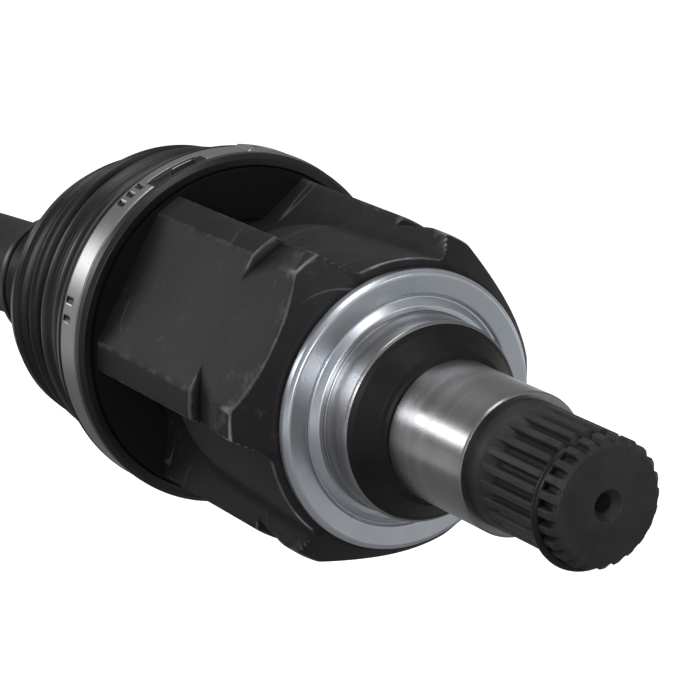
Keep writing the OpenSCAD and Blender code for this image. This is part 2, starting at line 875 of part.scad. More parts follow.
inner_housing();
dust_shield();
stub_circlip();
boot_insert();
inner_boot();
inner_large_clamp();
inner_small_clamp();
spider();
roller_1();
roller_2();
roller_3();
needle_set_1();
needle_set_2();
needle_set_3();
trunnion_washers();
trunnion_clips();
spider_snap_rings();
shaft_bar();
outer_boot();
outer_small_clamp();
outer_large_clamp();
inner_race();
race_snap_ring();
cage();
balls();
outer_housing();
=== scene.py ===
"""Half shaft with a tripod joint and a ball joint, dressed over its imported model.

Sizes are in millimetres and become metres where a mesh is made. The bar, the outer boot and
the ball joint lie on a line that is swung from the stub's axis.
"""
import logging
import math
from collections.abc import Sequence
from dataclasses import dataclass
from enum import Enum

import bpy
import numpy as np
from mathutils import Matrix, Vector


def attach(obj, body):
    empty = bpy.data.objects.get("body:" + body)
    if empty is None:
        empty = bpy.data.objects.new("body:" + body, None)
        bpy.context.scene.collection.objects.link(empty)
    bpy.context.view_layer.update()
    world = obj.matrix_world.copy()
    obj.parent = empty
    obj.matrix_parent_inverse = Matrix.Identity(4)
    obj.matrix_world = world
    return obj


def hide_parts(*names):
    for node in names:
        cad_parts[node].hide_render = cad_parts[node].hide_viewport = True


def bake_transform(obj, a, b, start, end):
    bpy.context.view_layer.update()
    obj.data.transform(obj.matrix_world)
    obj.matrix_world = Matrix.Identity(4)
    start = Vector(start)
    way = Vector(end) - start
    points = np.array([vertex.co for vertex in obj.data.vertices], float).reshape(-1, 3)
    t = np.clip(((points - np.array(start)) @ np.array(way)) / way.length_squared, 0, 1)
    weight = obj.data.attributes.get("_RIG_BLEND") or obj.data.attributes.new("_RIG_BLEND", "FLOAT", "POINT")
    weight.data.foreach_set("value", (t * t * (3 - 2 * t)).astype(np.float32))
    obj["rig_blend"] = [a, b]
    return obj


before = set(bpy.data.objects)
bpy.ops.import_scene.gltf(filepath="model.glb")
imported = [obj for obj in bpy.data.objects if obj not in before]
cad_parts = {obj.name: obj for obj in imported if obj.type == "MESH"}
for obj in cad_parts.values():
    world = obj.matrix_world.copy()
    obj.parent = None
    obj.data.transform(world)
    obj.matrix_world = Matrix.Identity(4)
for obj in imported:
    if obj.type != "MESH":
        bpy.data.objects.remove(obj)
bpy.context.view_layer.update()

log = logging.getLogger("half_shaft")

Array = np.ndarray
Rows = tuple[Array, Array, Array]
Piece = bpy.types.Object
Socket = bpy.types.NodeSocket
Outputs = bpy.types.NodeOutputs
Colour = tuple[float, float, float]
Corner = tuple[float, float]

MM = 0.001
SWING = math.radians(10.9)
TRIPOD = (-88.0, 0.0)
SPAN = 430.0
BALL_JOINT = (TRIPOD[0] - SPAN * math.cos(SWING), -SPAN * math.sin(SWING))
BEYOND = 99.0
WHITE = (1.0, 1.0, 1.0, 1.0)


# ---------------------------------------------------------------- shapes


def ease(share: Array) -> Array:
    """Smooth step: 3 q squared less 2 q cubed, with q the share held between 0 and 1."""
    q = np.clip(share, 0.0, 1.0)
    return q * q * (3.0 - 2.0 * q)


def hump(value: Array, middle: float, width: float) -> Array:
    """Bell curve of height 1: e to the minus ((value - middle) / width) squared."""
    return np.exp(-(((value - middle) / width) ** 2))


def soft_min(a: Array, b: Array, width: float) -> tuple[Array, Array]:
    """Smaller of two surfaces, with the crease between them rounded.

    With h = 1/2 + (b - a) / (2 width) held between 0 and 1, the value is
    b + (a - b) h - width h (1 - h), and the crease is 4 h (1 - h).

    Args:
        a: First radius, over a grid.
        b: Second radius, over the same grid.
        width: Difference in radius inside which the two run into each other.

    Returns:
        The joined radius, and how near each point is to the crease, from 0 to 1.
    """
    h = np.clip(0.5 + 0.5 * (b - a) / width, 0.0, 1.0)
    return b + (a - b) * h - width * h * (1.0 - h), 4.0 * h * (1.0 - h)


def soft_max(a: Array, b: Array, width: float) -> tuple[Array, Array]:
    """Larger of two surfaces with a rounded valley: minus the soft smaller of their opposites."""
    value, crease = soft_min(-a, -b, width)
    return -value, crease


def window(value: Array, low: float, high: float, soft: float) -> Array:
    """1 between low and high and 0 outside, with both flanks eased over the width soft."""
    return ease((value - low) / soft + 0.5) * ease((high - value) / soft + 0.5)


def stations(*runs: Sequence[float]) -> Array:
    """Column of stations. A tuple is a run from, to and count, and anything else is taken as it is."""
    return np.concatenate([np.linspace(*r) if isinstance(r, tuple) else r for r in runs])[:, None]


@dataclass(frozen=True)
class Line:
    """A straight axis in the plane of the bar: where it starts, and its heading from +X."""

    start: Corner
    heading: float

    def heading_at(self, station: Array) -> Array:
        """Heading of the axis at a station, which is the same all along a straight one."""
        return np.full_like(np.asarray(station, float), self.heading)

    def place(self, station: Array, across: Array, up: Array) -> Array:
        """Points in the row frame for stations, sideways and upward distances from the axis.

        The point is the start, plus the station along the heading's direction, plus the
        sideways distance along that direction turned left by a quarter turn.

        Args:
            station: Distance along the axis.
            across: Distance to the left of the axis.
            up: Height above the axis.

        Returns:
            An array with one more dimension, of size 3.
        """
        station, across, up = np.broadcast_arrays(station, across, up)
        turn = self.heading_at(station)
        x = self.start[0] + station * np.cos(turn) - across * np.sin(turn)
        y = self.start[1] + station * np.sin(turn) + across * np.cos(turn)
        return np.stack([x, y, up], axis=-1)

    def metres(self, station: float) -> tuple[float, ...]:
        """Point on the axis, in metres."""
        return tuple(self.place(np.array(station), np.array(0.0), np.array(0.0)) * MM)


@dataclass(frozen=True)
class BentLine(Line):
    """An axis that leaves its start along -X and takes up the bar's swing between two stations."""

    bend_from: float
    bend_to: float

    def heading_at(self, station: Array) -> Array:
        """Half a turn, plus the swing times the eased share of the bend that lies behind."""
        share = (station - self.bend_from) / (self.bend_to - self.bend_from)
        return math.pi + SWING * ease(share)


STUB_LINE = Line((0.0, 0.0), 0.0)
BAND_LINE = Line(TRIPOD, math.pi)
BAR_LINE = Line(TRIPOD, math.pi + SWING)
STEM_LINE = Line(BALL_JOINT, math.pi + SWING)
OUTER_BOOT_LINE = Line(BALL_JOINT, SWING)
BOOT_LINE = BentLine(TRIPOD, math.pi, 52.0, 73.0)


@dataclass(frozen=True)
class Outline:
    """A section line: its stations, its radii, and how sharp (+) or hollow (-) it is there."""

    station: Array
    radius: Array
    edge: Array

    def rows(self, loop: bool = False) -> Rows:
        """The three as columns. An open line leaves out its two ends, which are on the axis."""
        keep = slice(None) if loop else slice(1, -1)
        return self.station[keep, None], self.radius[keep, None], self.edge[keep, None]


def eased_outline(
    corners: Sequence[Corner], rounding: Sequence[float], closed: bool = False, steps: int = 5
) -> Outline:
    """Rounds the corners of a section line.

    Each corner P is replaced by the curve (1-t)^2 A + 2 t (1-t) P + t^2 B. A and B lie on
    its two sides, rounding times the tangent of half the turn away from P, and at most 0.44
    of a side. A further point on either side keeps the flat runs flat when they are shaded.

    Args:
        corners: Stations and radii, outside first, with the solid on the right hand.
        rounding: Radius for each corner.
        closed: True for a loop. An open line keeps its two ends.
        steps: Number of pieces that a rounded corner is made of.

    Returns:
        The rounded line.
    """
    p, r = np.asarray(corners, float), np.asarray(rounding, float)[:, None]
    back, ahead = np.roll(p, 1, 0) - p, np.roll(p, -1, 0) - p
    long_back = np.linalg.norm(back, axis=1, keepdims=True)
    long_ahead = np.linalg.norm(ahead, axis=1, keepdims=True)
    back, ahead = back / long_back, ahead / long_ahead
    turn = math.pi - np.arccos(np.clip((back * ahead).sum(1, keepdims=True), -1, 1))
    cut = np.minimum(r * np.tan(turn / 2), 0.44 * np.minimum(long_back, long_ahead))
    a, b = p + back * cut, p + ahead * cut
    t = np.linspace(0, 1, steps + 1)[None, :, None]
    curve = (1 - t) ** 2 * a[:, None] + 2 * t * (1 - t) * p[:, None] + t**2 * b[:, None]
    lead = a + back * np.minimum(0.3, 0.2 * (long_back - cut))
    trail = b + ahead * np.minimum(0.3, 0.2 * (long_ahead - cut))
    rows = np.concatenate([lead[:, None], curve, trail[:, None]], axis=1)
    # Outward corners get a positive mark for wear, inward corners a negative one for painted shade.
    convex = back[:, 0] * ahead[:, 1] - back[:, 1] * ahead[:, 0]
    bump = np.concatenate([[0.0], 4 * t[0, :, 0] * (1 - t[0, :, 0]), [0.0]])
    edge = convex[:, None] * bump * np.clip(1.2 / np.maximum(r, 0.4), 0, 1)
    if closed:
        rows, edge = rows.reshape(-1, 2), edge.ravel()
    else:
        rows = np.vstack([p[:1], rows[1:-1].reshape(-1, 2), p[-1:]])
        edge = np.concatenate([[0.0], edge[1:-1].ravel(), [0.0]])
    apart = np.linalg.norm(rows - np.roll(rows, 1, 0), axis=1) > 1e-3
    return Outline(rows[apart, 0], rows[apart, 1], edge[apart])


def drilled_end(end: float, rim: float) -> Rows:
    """End face and centre drilling, from the rim of the face at this station to the tip."""
    corners = [(end, rim), (end, 3.25), (end - 1.8, 1.92), (end - 7.8, 1.92), (end - 9, 0.05), (end - 9, 0)]
    return eased_outline(corners, [0, 0.15, 0.2, 0.1, 0, 0]).rows()


def around(sides: int) -> Array:
    """Angles round an axis, evenly spaced, without the last one that would meet the first."""
    return np.linspace(0, 2 * math.pi, sides, endpoint=False)[None, :]


def ring_faces(rings: int, sides: int, loop: bool) -> list[list[int]]:
    """Quads between neighbouring rings of points, and fans to a pole at either end of an open row.

    Args:
        rings: Number of rings.
        sides: Points in a ring.
        loop: True where the last ring joins the first, so that there are no poles.

    Returns:
        The corners of each face, in an order that faces outward.
    """
    i = np.arange(rings if loop else rings - 1)[:, None]
    j = np.arange(sides)[None, :]
    near, far, nxt = i * sides, (i + 1) % rings * sides, (j + 1) % sides
    quads = np.stack(np.broadcast_arrays(near + j, near + nxt, far + nxt, far + j), -1).reshape(-1, 4)
    if loop:
        return quads.tolist()
    first, last, end = rings * sides, rings * sides + 1, (rings - 1) * sides
    j, nxt = j[0], nxt[0]
    start_fan = np.stack([np.full(sides, first), nxt, j], -1)
    end_fan = np.stack([np.full(sides, last), end + j, end + nxt], -1)
    return quads.tolist() + start_fan.tolist() + end_fan.tolist()


def add_object(name: str, data: bpy.types.ID) -> Piece:
    """Makes an object for a mesh, a camera or a lamp, and links it to the scene."""
    made = bpy.data.objects.new(name, data)
    bpy.context.scene.collection.objects.link(made)
    return made


def add_mesh(name: str, points: Array, faces: list[list[int]]) -> Piece:
    """Makes a smooth object from points in millimetres and the corners of its faces."""
    mesh = bpy.data.meshes.new(name)
    mesh.from_pydata((points * MM).tolist(), [], faces)
    mesh.shade_smooth()
    return add_object(name, mesh)


def skin(name: str, line: Line, rows: Rows, loop: bool = False) -> Piece:
    """Makes a closed mesh from rings round an axis.

    A ring's point at angle t lies radius cos t to the left of the axis and radius sin t above
    it. An open row of rings is closed by a pole on the axis at its first and last station.

    Args:
        name: Name of the new object.
        line: Axis that the rings are on.
        rows: Station and radius of each point, and how sharp (+) or hollow (-) the surface
            is there, with rings down and angles across.
        loop: True where the rings close on themselves.

    Returns:
        The object, linked to the scene, at the origin.
    """
    radius = rows[1]
    station, edge = (np.broadcast_to(a, radius.shape) for a in (rows[0], rows[2]))
    turn = around(radius.shape[1])
    points = line.place(station, radius * np.cos(turn), radius * np.sin(turn)).reshape(-1, 3)
    marks = edge.ravel()
    if not loop:
        ends = line.place(np.array([station[0, 0], station[-1, 0]]), np.zeros(2), np.zeros(2))
        points, marks = np.vstack([points, ends]), np.concatenate([marks, [0.0, 0.0]])
    made = add_mesh(name, points, ring_faces(*radius.shape, loop))
    rest = (points * MM).astype(np.float32).ravel()
    kept = made.data.attributes
    kept.new("edge", "FLOAT", "POINT").data.foreach_set("value", marks.astype(np.float32))
    kept.new("rest", "FLOAT_VECTOR", "POINT").data.foreach_set("vector", rest)
    return made


def stack(sides: int, *parts: Rows) -> Rows:
    """Puts parts of a surface one after the other, each spread over all the angles."""
    return tuple(np.vstack([np.broadcast_to(a, (len(a), sides)) for a in like]) for like in zip(*parts))


def turned(name: str, line: Line, outline: Outline, sides: int, loop: bool = False) -> Piece:
    """Turns a section line round an axis. An open line starts and ends on the axis."""
    return skin(name, line, stack(sides, outline.rows(loop)), loop)


def tooth_share(turn: Array, teeth: int, crest: float = 0.2, root: float = 0.36) -> Array:
    """Height of a spline tooth from 0 at the floor to 1 on the crest.

    The distance from the nearest tooth's middle, in tooth pitches, eases the height from 1
    inside crest to 0 outside root.

    Args:
        turn: Angles round the axis.
        teeth: Number of teeth.
        crest: Half width of the crest, in pitches.
        root: Half width of the foot, in pitches.

    Returns:
        The height at each angle.
    """
    off = np.abs((turn * teeth / (2 * math.pi) + 0.5) % 1.0 - 0.5)
    return ease((root - off) / (root - crest))


# ---------------------------------------------------------------- finishes


class Wiring:
    """Places and joins the nodes of one shader tree."""

    def __init__(self, tree: bpy.types.NodeTree) -> None:
        """Empties the tree that the nodes go into."""
        self.tree = tree
        tree.nodes.clear()

    def feed(self, node: bpy.types.Node, key: str | int, value: object) -> None:
        """Joins a socket to an input of a node, or sets the input to a plain value."""
        if isinstance(value, Socket):
            self.tree.links.new(value, node.inputs[key])
        else:
            node.inputs[key].default_value = value

    def put(self, kind: str, feeds: dict | None = None, **settings: object) -> bpy.types.Node:
        """Adds a node.

        Args:
            kind: Blender's name for the node type.
            feeds: For each input, the value that it holds or the socket that is joined to it.
            settings: Properties of the node.

        Returns:
            The new node.
        """
        node = self.tree.nodes.new(kind)
        for key, value in settings.items():
            setattr(node, key, value)
        for key, value in (feeds or {}).items():
            self.feed(node, key, value)
        return node

    def sum(self, operation: str, a: object, b: object = 0.0, c: object = 0.0) -> Socket:
        """Result of a Math node on up to three numbers or sockets."""
        return self.put("ShaderNodeMath", {0: a, 1: b, 2: c}, operation=operation).outputs[0]

    def times(self, a: object, b: object) -> Socket:
        """Product of two numbers or sockets."""
        return self.sum("MULTIPLY", a, b)

    def blend(self, share: object, a: object, b: object) -> Socket:
        """Colour that goes from a to b as the share goes from 0 to 1."""
        return self.put("ShaderNodeMix", {0: share, 6: a, 7: b}, data_type="RGBA").outputs[2]

    def noise(self, vector: object, scale: object, detail: float, rough: float = 0.5) -> Socket:
        """Fractal noise from 0 to 1 at a point."""
        feeds = {"Vector": vector, "Scale": scale, "Detail": detail, "Roughness": rough}
        return self.put("ShaderNodeTexNoise", feeds).outputs[0]

    def lines(self, along: object, scale: object, detail: float) -> Socket:
        """Noise that changes only along one direction, so that it draws lines across it."""
        feeds = {"W": along, "Scale": scale, "Detail": detail}
        return self.put("ShaderNodeTexNoise", feeds, noise_dimensions="1D").outputs[0]

    def spread(self, value: object, low: object, high: object, first: float = 0.0, last: float = 1.0) -> Socket:
        """Maps low to first and high to last, and holds the value outside them."""
        return self.put("ShaderNodeMapRange", {0: value, 1: low, 2: high, 3: first, 4: last}).outputs[0]


class Effect:
    """A shader node group that more than one finish uses, made the first time it is placed."""

    name = "effect"
    takes: tuple[str, ...] = ()

    def wire(self, w: Wiring, **taken: Socket) -> dict[str, Socket]:
        """Builds the inside of the group and returns the socket for each output."""
        raise NotImplementedError

    def group(self) -> bpy.types.NodeTree:
        """The group's tree, from the file if it is there already."""
        found = bpy.data.node_groups.get(self.name)
        if found:
            return found
        tree = bpy.data.node_groups.new(self.name, "ShaderNodeTree")
        for label in self.takes:
            kind = "NodeSocketVector" if label == "point" else "NodeSocketFloat"
            tree.interface.new_socket(name=label, in_out="INPUT", socket_type=kind)
        w = Wiring(tree)
        inputs = w.put("NodeGroupInput").outputs
        made = self.wire(w, **{label: inputs[label] for label in self.takes})
        for label in made:
            tree.interface.new_socket(name=label, in_out="OUTPUT", socket_type="NodeSocketFloat")
        w.put("NodeGroupOutput", made)
        return tree


class Grain(Effect):
    """Uneven skin of a forging, a casting or a moulding: fine height, and larger patches."""

    name = "grain"
    takes = ("point", "scale", "patch")

    def wire(self, w: Wiring, point: Socket, scale: Socket, patch: Socket) -> dict[str, Socket]:
        """Height is noise at the scale, patches are stretched noise, specks its brightest tips."""
        height = w.noise(point, scale, 4.0, 0.6)
        patches = w.spread(w.noise(point, patch, 3.0, 0.6), 0.35, 0.65)
        specks = w.spread(w.noise(point, w.times(scale, 0.45), 2.0, 0.7), 0.66, 0.74)
        return {"Height": height, "Patches": patches, "Specks": specks}


class EdgeWearAndShade(Effect):
    """Where a finish has rubbed off along its edges, and painted shade where it is hollow."""

    name = "edge_wear_and_shade"
    takes = ("edge", "point", "scale", "reach")

    def wire(self, w: Wiring, edge: Socket, point: Socket, scale: Socket, reach: Socket) -> dict[str, Socket]:
        """The edge mark plus uneven noise passes a limit set by the reach, and hollows give the painted shade mask."""
        rough = w.noise(point, scale, 5.0, 0.7)
        high = w.sum("MULTIPLY_ADD", w.sum("SUBTRACT", rough, 0.5), 1.6, edge)
        limit = w.sum("SUBTRACT", 1.05, reach)
        worn = w.spread(high, limit, w.sum("ADD", limit, 0.3))
        # PaintedShade is a mask for painted shade in hollows, not wear.
        return {"Worn": worn, "PaintedShade": w.spread(edge, -0.1, -0.9)}


class LatheLines(Effect):
    """Marks that turning or grinding leaves round an axis."""

    name = "lathe_lines"
    takes = ("along", "scale")

    def wire(self, w: Wiring, along: Socket, scale: Socket) -> dict[str, Socket]:
        """Fine and broad noise that changes only along the axis."""
        broad = w.lines(along, w.times(scale, 0.08), 3.0)
        return {"Height": w.lines(along, scale, 2.0), "Bands": w.spread(broad, 0.3, 0.7)}


class Scuffs(Effect):
    """Thin stray scratches, and the faint smears that go with them."""

    name = "scuffs"
    takes = ("point", "scale", "width")

    def wire(self, w: Wiring, point: Socket, scale: Socket, width: Socket) -> dict[str, Socket]:
        """A scratch is where a stretched noise passes its middle value, kept in a few places only."""
        stretch = {"Vector": point, "Rotation": (0.5, 0.9, 0.3), "Scale": (1.0, 0.12, 0.35)}
        long = w.put("ShaderNodeMapping", stretch).outputs[0]
        middle = w.sum("ABSOLUTE", w.sum("SUBTRACT", w.noise(long, scale, 1.0), 0.5))
        thin = w.spread(middle, 0.0, width, 1.0, 0.0)
        place = w.spread(w.noise(point, w.times(scale, 0.4), 2.0), 0.54, 0.62)
        smear = w.spread(w.noise(long, w.times(scale, 0.5), 4.0, 0.65), 0.45, 0.75)
        return {"Scratch": w.times(thin, place), "Smear": smear}


class Dust(Effect):
    """Light dust on what faces up."""

    name = "dust"
    takes = ("point", "amount")

    def wire(self, w: Wiring, point: Socket, amount: Socket) -> dict[str, Socket]:
        """The upward share of the surface's direction, times clouds, times the amount."""
        up = w.put("ShaderNodeSeparateXYZ", {0: w.put("ShaderNodeNewGeometry").outputs["Normal"]}).outputs[2]
        clouds = w.spread(w.noise(point, 140.0, 5.0, 0.7), 0.4, 0.7)
        return {"Cover": w.times(w.times(w.spread(up, 0.1, 1.0), clouds), amount)}


GRAIN, EDGE_WEAR_AND_SHADE, LATHE_LINES, SCUFFS, DUST = Grain(), EdgeWearAndShade(), LatheLines(), Scuffs(), Dust()


class Axis(Enum):
    """Which axis the marks of a finish run round, by its heading."""

    STUB = 0.0
    BAR = SWING


class Coat(Wiring):
    """Material of one finish, laid on in layers of tone and roughness.

    Its patterns read the point on the piece, turned to the axis, the distance along the axis,
    and the edge mark of the mesh.
    """

    def __init__(self, tree: bpy.types.NodeTree, finish: "Finish", axis: Axis, soft: bool) -> None:
        """Starts with the finish's plain colour and roughness.

        Args:
            tree: Nodes of the material.
            finish: Finish that is laid on.
            axis: Which axis its marks run round.
            soft: True for a piece that bends in a pose, so that its pattern stays on it.
        """
        super().__init__(tree)
        if soft:
            read = self.put("ShaderNodeAttribute", attribute_name="rest").outputs["Vector"]
        else:
            read = self.put("ShaderNodeTexCoord").outputs["Object"]
        turn = {"Vector": read, "Rotation": (0.0, 0.0, -axis.value)}
        self.point = self.put("ShaderNodeMapping", turn).outputs[0]
        self.along = self.put("ShaderNodeSeparateXYZ", {0: self.point}).outputs[0]
        self.edge = self.put("ShaderNodeAttribute", attribute_name="edge").outputs["Fac"]
        self.shader = self.put("ShaderNodeBsdfPrincipled")
        self.finish, self.rough = finish, finish.roughness
        self.tone = self.colour(1.0)

    def colour(self, of: Colour | float) -> tuple[float, ...]:
        """A colour, or the finish's own made lighter or darker by a gain, with full cover."""
        if isinstance(of, float):
            return (*(c * of for c in self.finish.colour), 1.0)
        return (*of, 1.0)

    def use(self, effect: Effect, **values: float) -> Outputs:
        """Places an effect with values of its own and what it takes of point, along and edge."""
        node = self.put("ShaderNodeGroup", node_tree=effect.group())
        for label in effect.takes:
            self.feed(node, label, values[label] if label in values else getattr(self, label))
        return node.outputs

    def mottle(self, mask: Socket, low: float, high: float) -> None:
        """Varies the plain colour between two gains as the mask goes from 0 to 1."""
        self.tone = self.blend(mask, self.colour(low), self.colour(high))

    def cover(self, mask: Socket, share: object, of: Colour | float) -> None:
        """Lays a colour, or a gain on the plain one, over the tone by a share of the mask."""
        self.tone = self.blend(mask if share == 1 else self.times(mask, share), self.tone, self.colour(of))

    def roughen(self, mask: Socket, gain: float) -> None:
        """Adds the mask times a gain to the roughness."""
        self.rough = self.sum("MULTIPLY_ADD", mask, gain, self.rough)

    def close(self, height: Socket, metallic: float = 0.0, specular: float = 0.5) -> None:
        """Joins the layers and the relief to the shader, and the shader to the output."""
        relief = {"Height": height, "Distance": self.finish.relief * MM}
        normal = self.put("ShaderNodeBump", relief).outputs[0]
        feeds = {"Base Color": self.tone, "Roughness": self.rough, "Normal": normal, "Metallic": metallic,
                 "Specular IOR Level": specular}
        for key, value in feeds.items():
            self.feed(self.shader, key, value)
        self.put("ShaderNodeOutputMaterial", {0: self.shader.outputs[0]})


@dataclass(frozen=True)
class Finish:
    """What every finish has: a name, a colour, a roughness and the height of its relief."""

    name: str
    colour: Colour
    roughness: float
    relief: float

    def wire(self, w: Coat) -> None:
        """Lays the finish on."""
        raise NotImplementedError

    def dress(self, *pieces: Piece, axis: Axis = Axis.STUB, soft: bool = False) -> None:
        """Gives the pieces this finish.

        Args:
            pieces: Objects that get it.
            axis: Which axis its marks run round.
            soft: True for a piece that bends in a pose, so that its pattern stays on it.
        """
        label = self.name + "_finish" + ("_on_bar" if axis is Axis.BAR else "") + ("_soft" if soft else "")
        material = bpy.data.materials.get(label)
        if not material:
            material = bpy.data.materials.new(label)
            material.use_nodes = True
            self.wire(Coat(material.node_tree, self, axis, soft))
        for piece in pieces:
            piece.data.materials.clear()
            piece.data.materials.append(material)


@dataclass(frozen=True)
class ForgedPaint(Finish):
    """Thin satin black paint over a forging, rubbed bright along its edges."""

    worn: Colour = (0.2, 0.195, 0.197)
    wear: float = 0.5
    grain: float = 700.0

    def wire(self, w: Coat) -> None:
        """Mottled black, paler in blotches and where it is rubbed, painted shade in nooks, dusty on top."""
        grain = w.use(GRAIN, scale=self.grain, patch=70.0)
        wear = w.use(EDGE_WEAR_AND_SHADE, scale=260.0, reach=self.wear)
        scuff = w.use(SCUFFS, scale=90.0, width=0.01)
        blotch = w.sum("ADD", w.noise(w.point, 190.0, 6.0, 0.75), w.times(w.edge, 0.5))
        place = w.spread(w.noise(w.point, 75.0, 2.0), 0.46, 0.58, 0.1, 1.0)
        w.mottle(grain["Patches"], 0.88, 1.14)
        w.cover(grain["Specks"], 0.3, 3.0)
        w.cover(w.spread(blotch, 0.6, 0.84, 0.0, 0.3), 1, self.worn)
        w.cover(wear["Worn"], place, self.worn)
        w.cover(scuff["Scratch"], 0.35, self.worn)
        # Painted shade: darkens the paint in valleys, notch floors and other hollows.
        w.cover(wear["PaintedShade"], 0.8, 0.2)
        w.cover(w.use(DUST, amount=0.035)["Cover"], 1, (0.22, 0.21, 0.2))
        w.roughen(grain["Patches"], 0.04)
        w.roughen(wear["PaintedShade"], 0.3)
        w.roughen(scuff["Smear"], -0.03)
        w.close(grain["Height"], specular=0.14)


@dataclass(frozen=True)
class GroundSteel(Finish):
    """Steel ground or turned round its axis, with light stains and handling marks."""

    stain: Colour = (0.2, 0.19, 0.18)

    def wire(self, w: Coat) -> None:
        """Fine rings vary the tone, roughness and height, and smears dull it a little."""
        marks = w.use(LATHE_LINES, scale=3200.0)
        scuff = w.use(SCUFFS, scale=160.0, width=0.02)
        grain = w.use(GRAIN, scale=1500.0, patch=110.0)
        w.mottle(marks["Bands"], 0.84, 1.06)
        w.cover(grain["Patches"], 0.22, self.stain)
        w.cover(scuff["Scratch"], 0.35, self.stain)
        w.roughen(marks["Bands"], 0.08)
        w.roughen(scuff["Smear"], 0.1)
        w.close(marks["Height"], metallic=1.0)


@dataclass(frozen=True)
class Phosphate(Finish):
    """Dark phosphate coat on machined steel, rubbed a little brighter on the crests."""

    worn: Colour = (0.075, 0.075, 0.078)

    def wire(self, w: Coat) -> None:
        """Fine crystals in a dark grey, oily in patches, brighter where it is worn, with painted shade in hollows."""
        grain = w.use(GRAIN, scale=2600.0, patch=130.0)
        wear = w.use(EDGE_WEAR_AND_SHADE, scale=700.0, reach=0.4)
        marks = w.use(LATHE_LINES, scale=1800.0)
        w.mottle(grain["Patches"], 0.8, 1.25)
        w.cover(marks["Bands"], 0.3, 1.5)
        w.cover(wear["Worn"], 0.6, self.worn)
        # Painted shade: darkens the floors between teeth and other hollows.
        w.cover(wear["PaintedShade"], 1, 0.25)
        w.roughen(grain["Height"], 0.16)
        w.close(w.sum("ADD", grain["Height"], marks["Height"]), metallic=0.3, specular=0.2)


@dataclass(frozen=True)
class ZincPlate(Finish):
    """Bright zinc plate over a pressing, with a blue cast that changes in soft patches."""

    warm: Colour = (0.46, 0.44, 0.4)

    def wire(self, w: Coat) -> None:
        """Blue grey metal with warm clouds, small handling marks and painted shade in hollows."""
        grain = w.use(GRAIN, scale=1200.0, patch=55.0)
        scuff = w.use(SCUFFS, scale=130.0, width=0.015)
        wear = w.use(EDGE_WEAR_AND_SHADE, scale=400.0, reach=0.3)
        w.cover(grain["Patches"], 0.3, self.warm)
        w.cover(scuff["Scratch"], 0.4, 0.5)
        # Painted shade: darkens the shield's grooves and inward folds.
        w.cover(wear["PaintedShade"], 0.6, 0.25)
        w.roughen(grain["Patches"], 0.12)
        w.roughen(scuff["Smear"], 0.08)
        w.close(grain["Height"], metallic=1.0)


@dataclass(frozen=True)
class MouldedRubber(Finish):
    """Moulded boot rubber: black, half gloss, with a faint bloom and fine mould marks."""

    bloom: Colour = (0.006, 0.0057, 0.0062)

    def wire(self, w: Coat) -> None:
        """Black with a paler bloom in patches, painted shade and more roughness in the folds, and rings from the mould.
        """
        grain = w.use(GRAIN, scale=1400.0, patch=45.0)
        wear = w.use(EDGE_WEAR_AND_SHADE, scale=300.0, reach=0.2)
        marks = w.use(LATHE_LINES, scale=1400.0)
        w.cover(grain["Patches"], 0.35, self.bloom)
        # Painted shade: darkens the rubber in the valleys of the folds.
        w.cover(wear["PaintedShade"], 0.6, 0.3)
        w.cover(w.use(DUST, amount=0.02)["Cover"], 1, (0.2, 0.19, 0.18))
        w.roughen(grain["Patches"], 0.14)
        w.roughen(marks["Bands"], 0.05)
        w.roughen(wear["PaintedShade"], 0.35)
        w.close(w.sum("MULTIPLY_ADD", marks["Height"], 0.5, grain["Height"]), specular=0.4)


@dataclass(frozen=True)
class BrushedStrip(Finish):
    """Steel strip brushed along its length, bare or coated dark."""

    def wire(self, w: Coat) -> None:
        """Brush lines run round the band, with scuffs, and shade gathers under its steps."""
        marks = w.use(LATHE_LINES, scale=5200.0)
        scuff = w.use(SCUFFS, scale=200.0, width=0.02)
        w.mottle(marks["Bands"], 0.82, 1.04)
        w.cover(scuff["Scratch"], 0.3, 0.55)
        # Painted shade under the band's steps and in its slots and holes.
        w.cover(w.use(EDGE_WEAR_AND_SHADE, scale=500.0, reach=0.2)["PaintedShade"], 1, 0.08)
        w.roughen(scuff["Smear"], 0.12)
        w.close(marks["Height"], metallic=1.0)


@dataclass(frozen=True)
class BearingSteel(Finish):
    """Hardened and polished bearing steel under a thin film of grease."""

    grease: Colour = (0.2, 0.16, 0.09)

    def wire(self, w: Coat) -> None:
        """Bright steel that grease tints and dulls in patches."""
        grain = w.use(GRAIN, scale=1800.0, patch=90.0)
        w.cover(grain["Patches"], 0.35, self.grease)
        w.cover(w.use(SCUFFS, scale=220.0, width=0.015)["Scratch"], 0.3, 0.6)
        w.roughen(grain["Patches"], 0.2)
        w.close(grain["Height"], metallic=1.0)


@dataclass(frozen=True)
class MouldedPlastic(Finish):
    """Glass filled plastic with a fine spark eroded skin."""

    def wire(self, w: Coat) -> None:
        """Dark plastic with pale fibre specks, and an even fine grain."""
        grain = w.use(GRAIN, scale=2200.0, patch=80.0)
        w.mottle(grain["Patches"], 0.9, 1.2)
        w.cover(grain["Specks"], 0.3, 3.0)
        w.roughen(grain["Height"], 0.2)
        w.close(grain["Height"], specular=0.15)


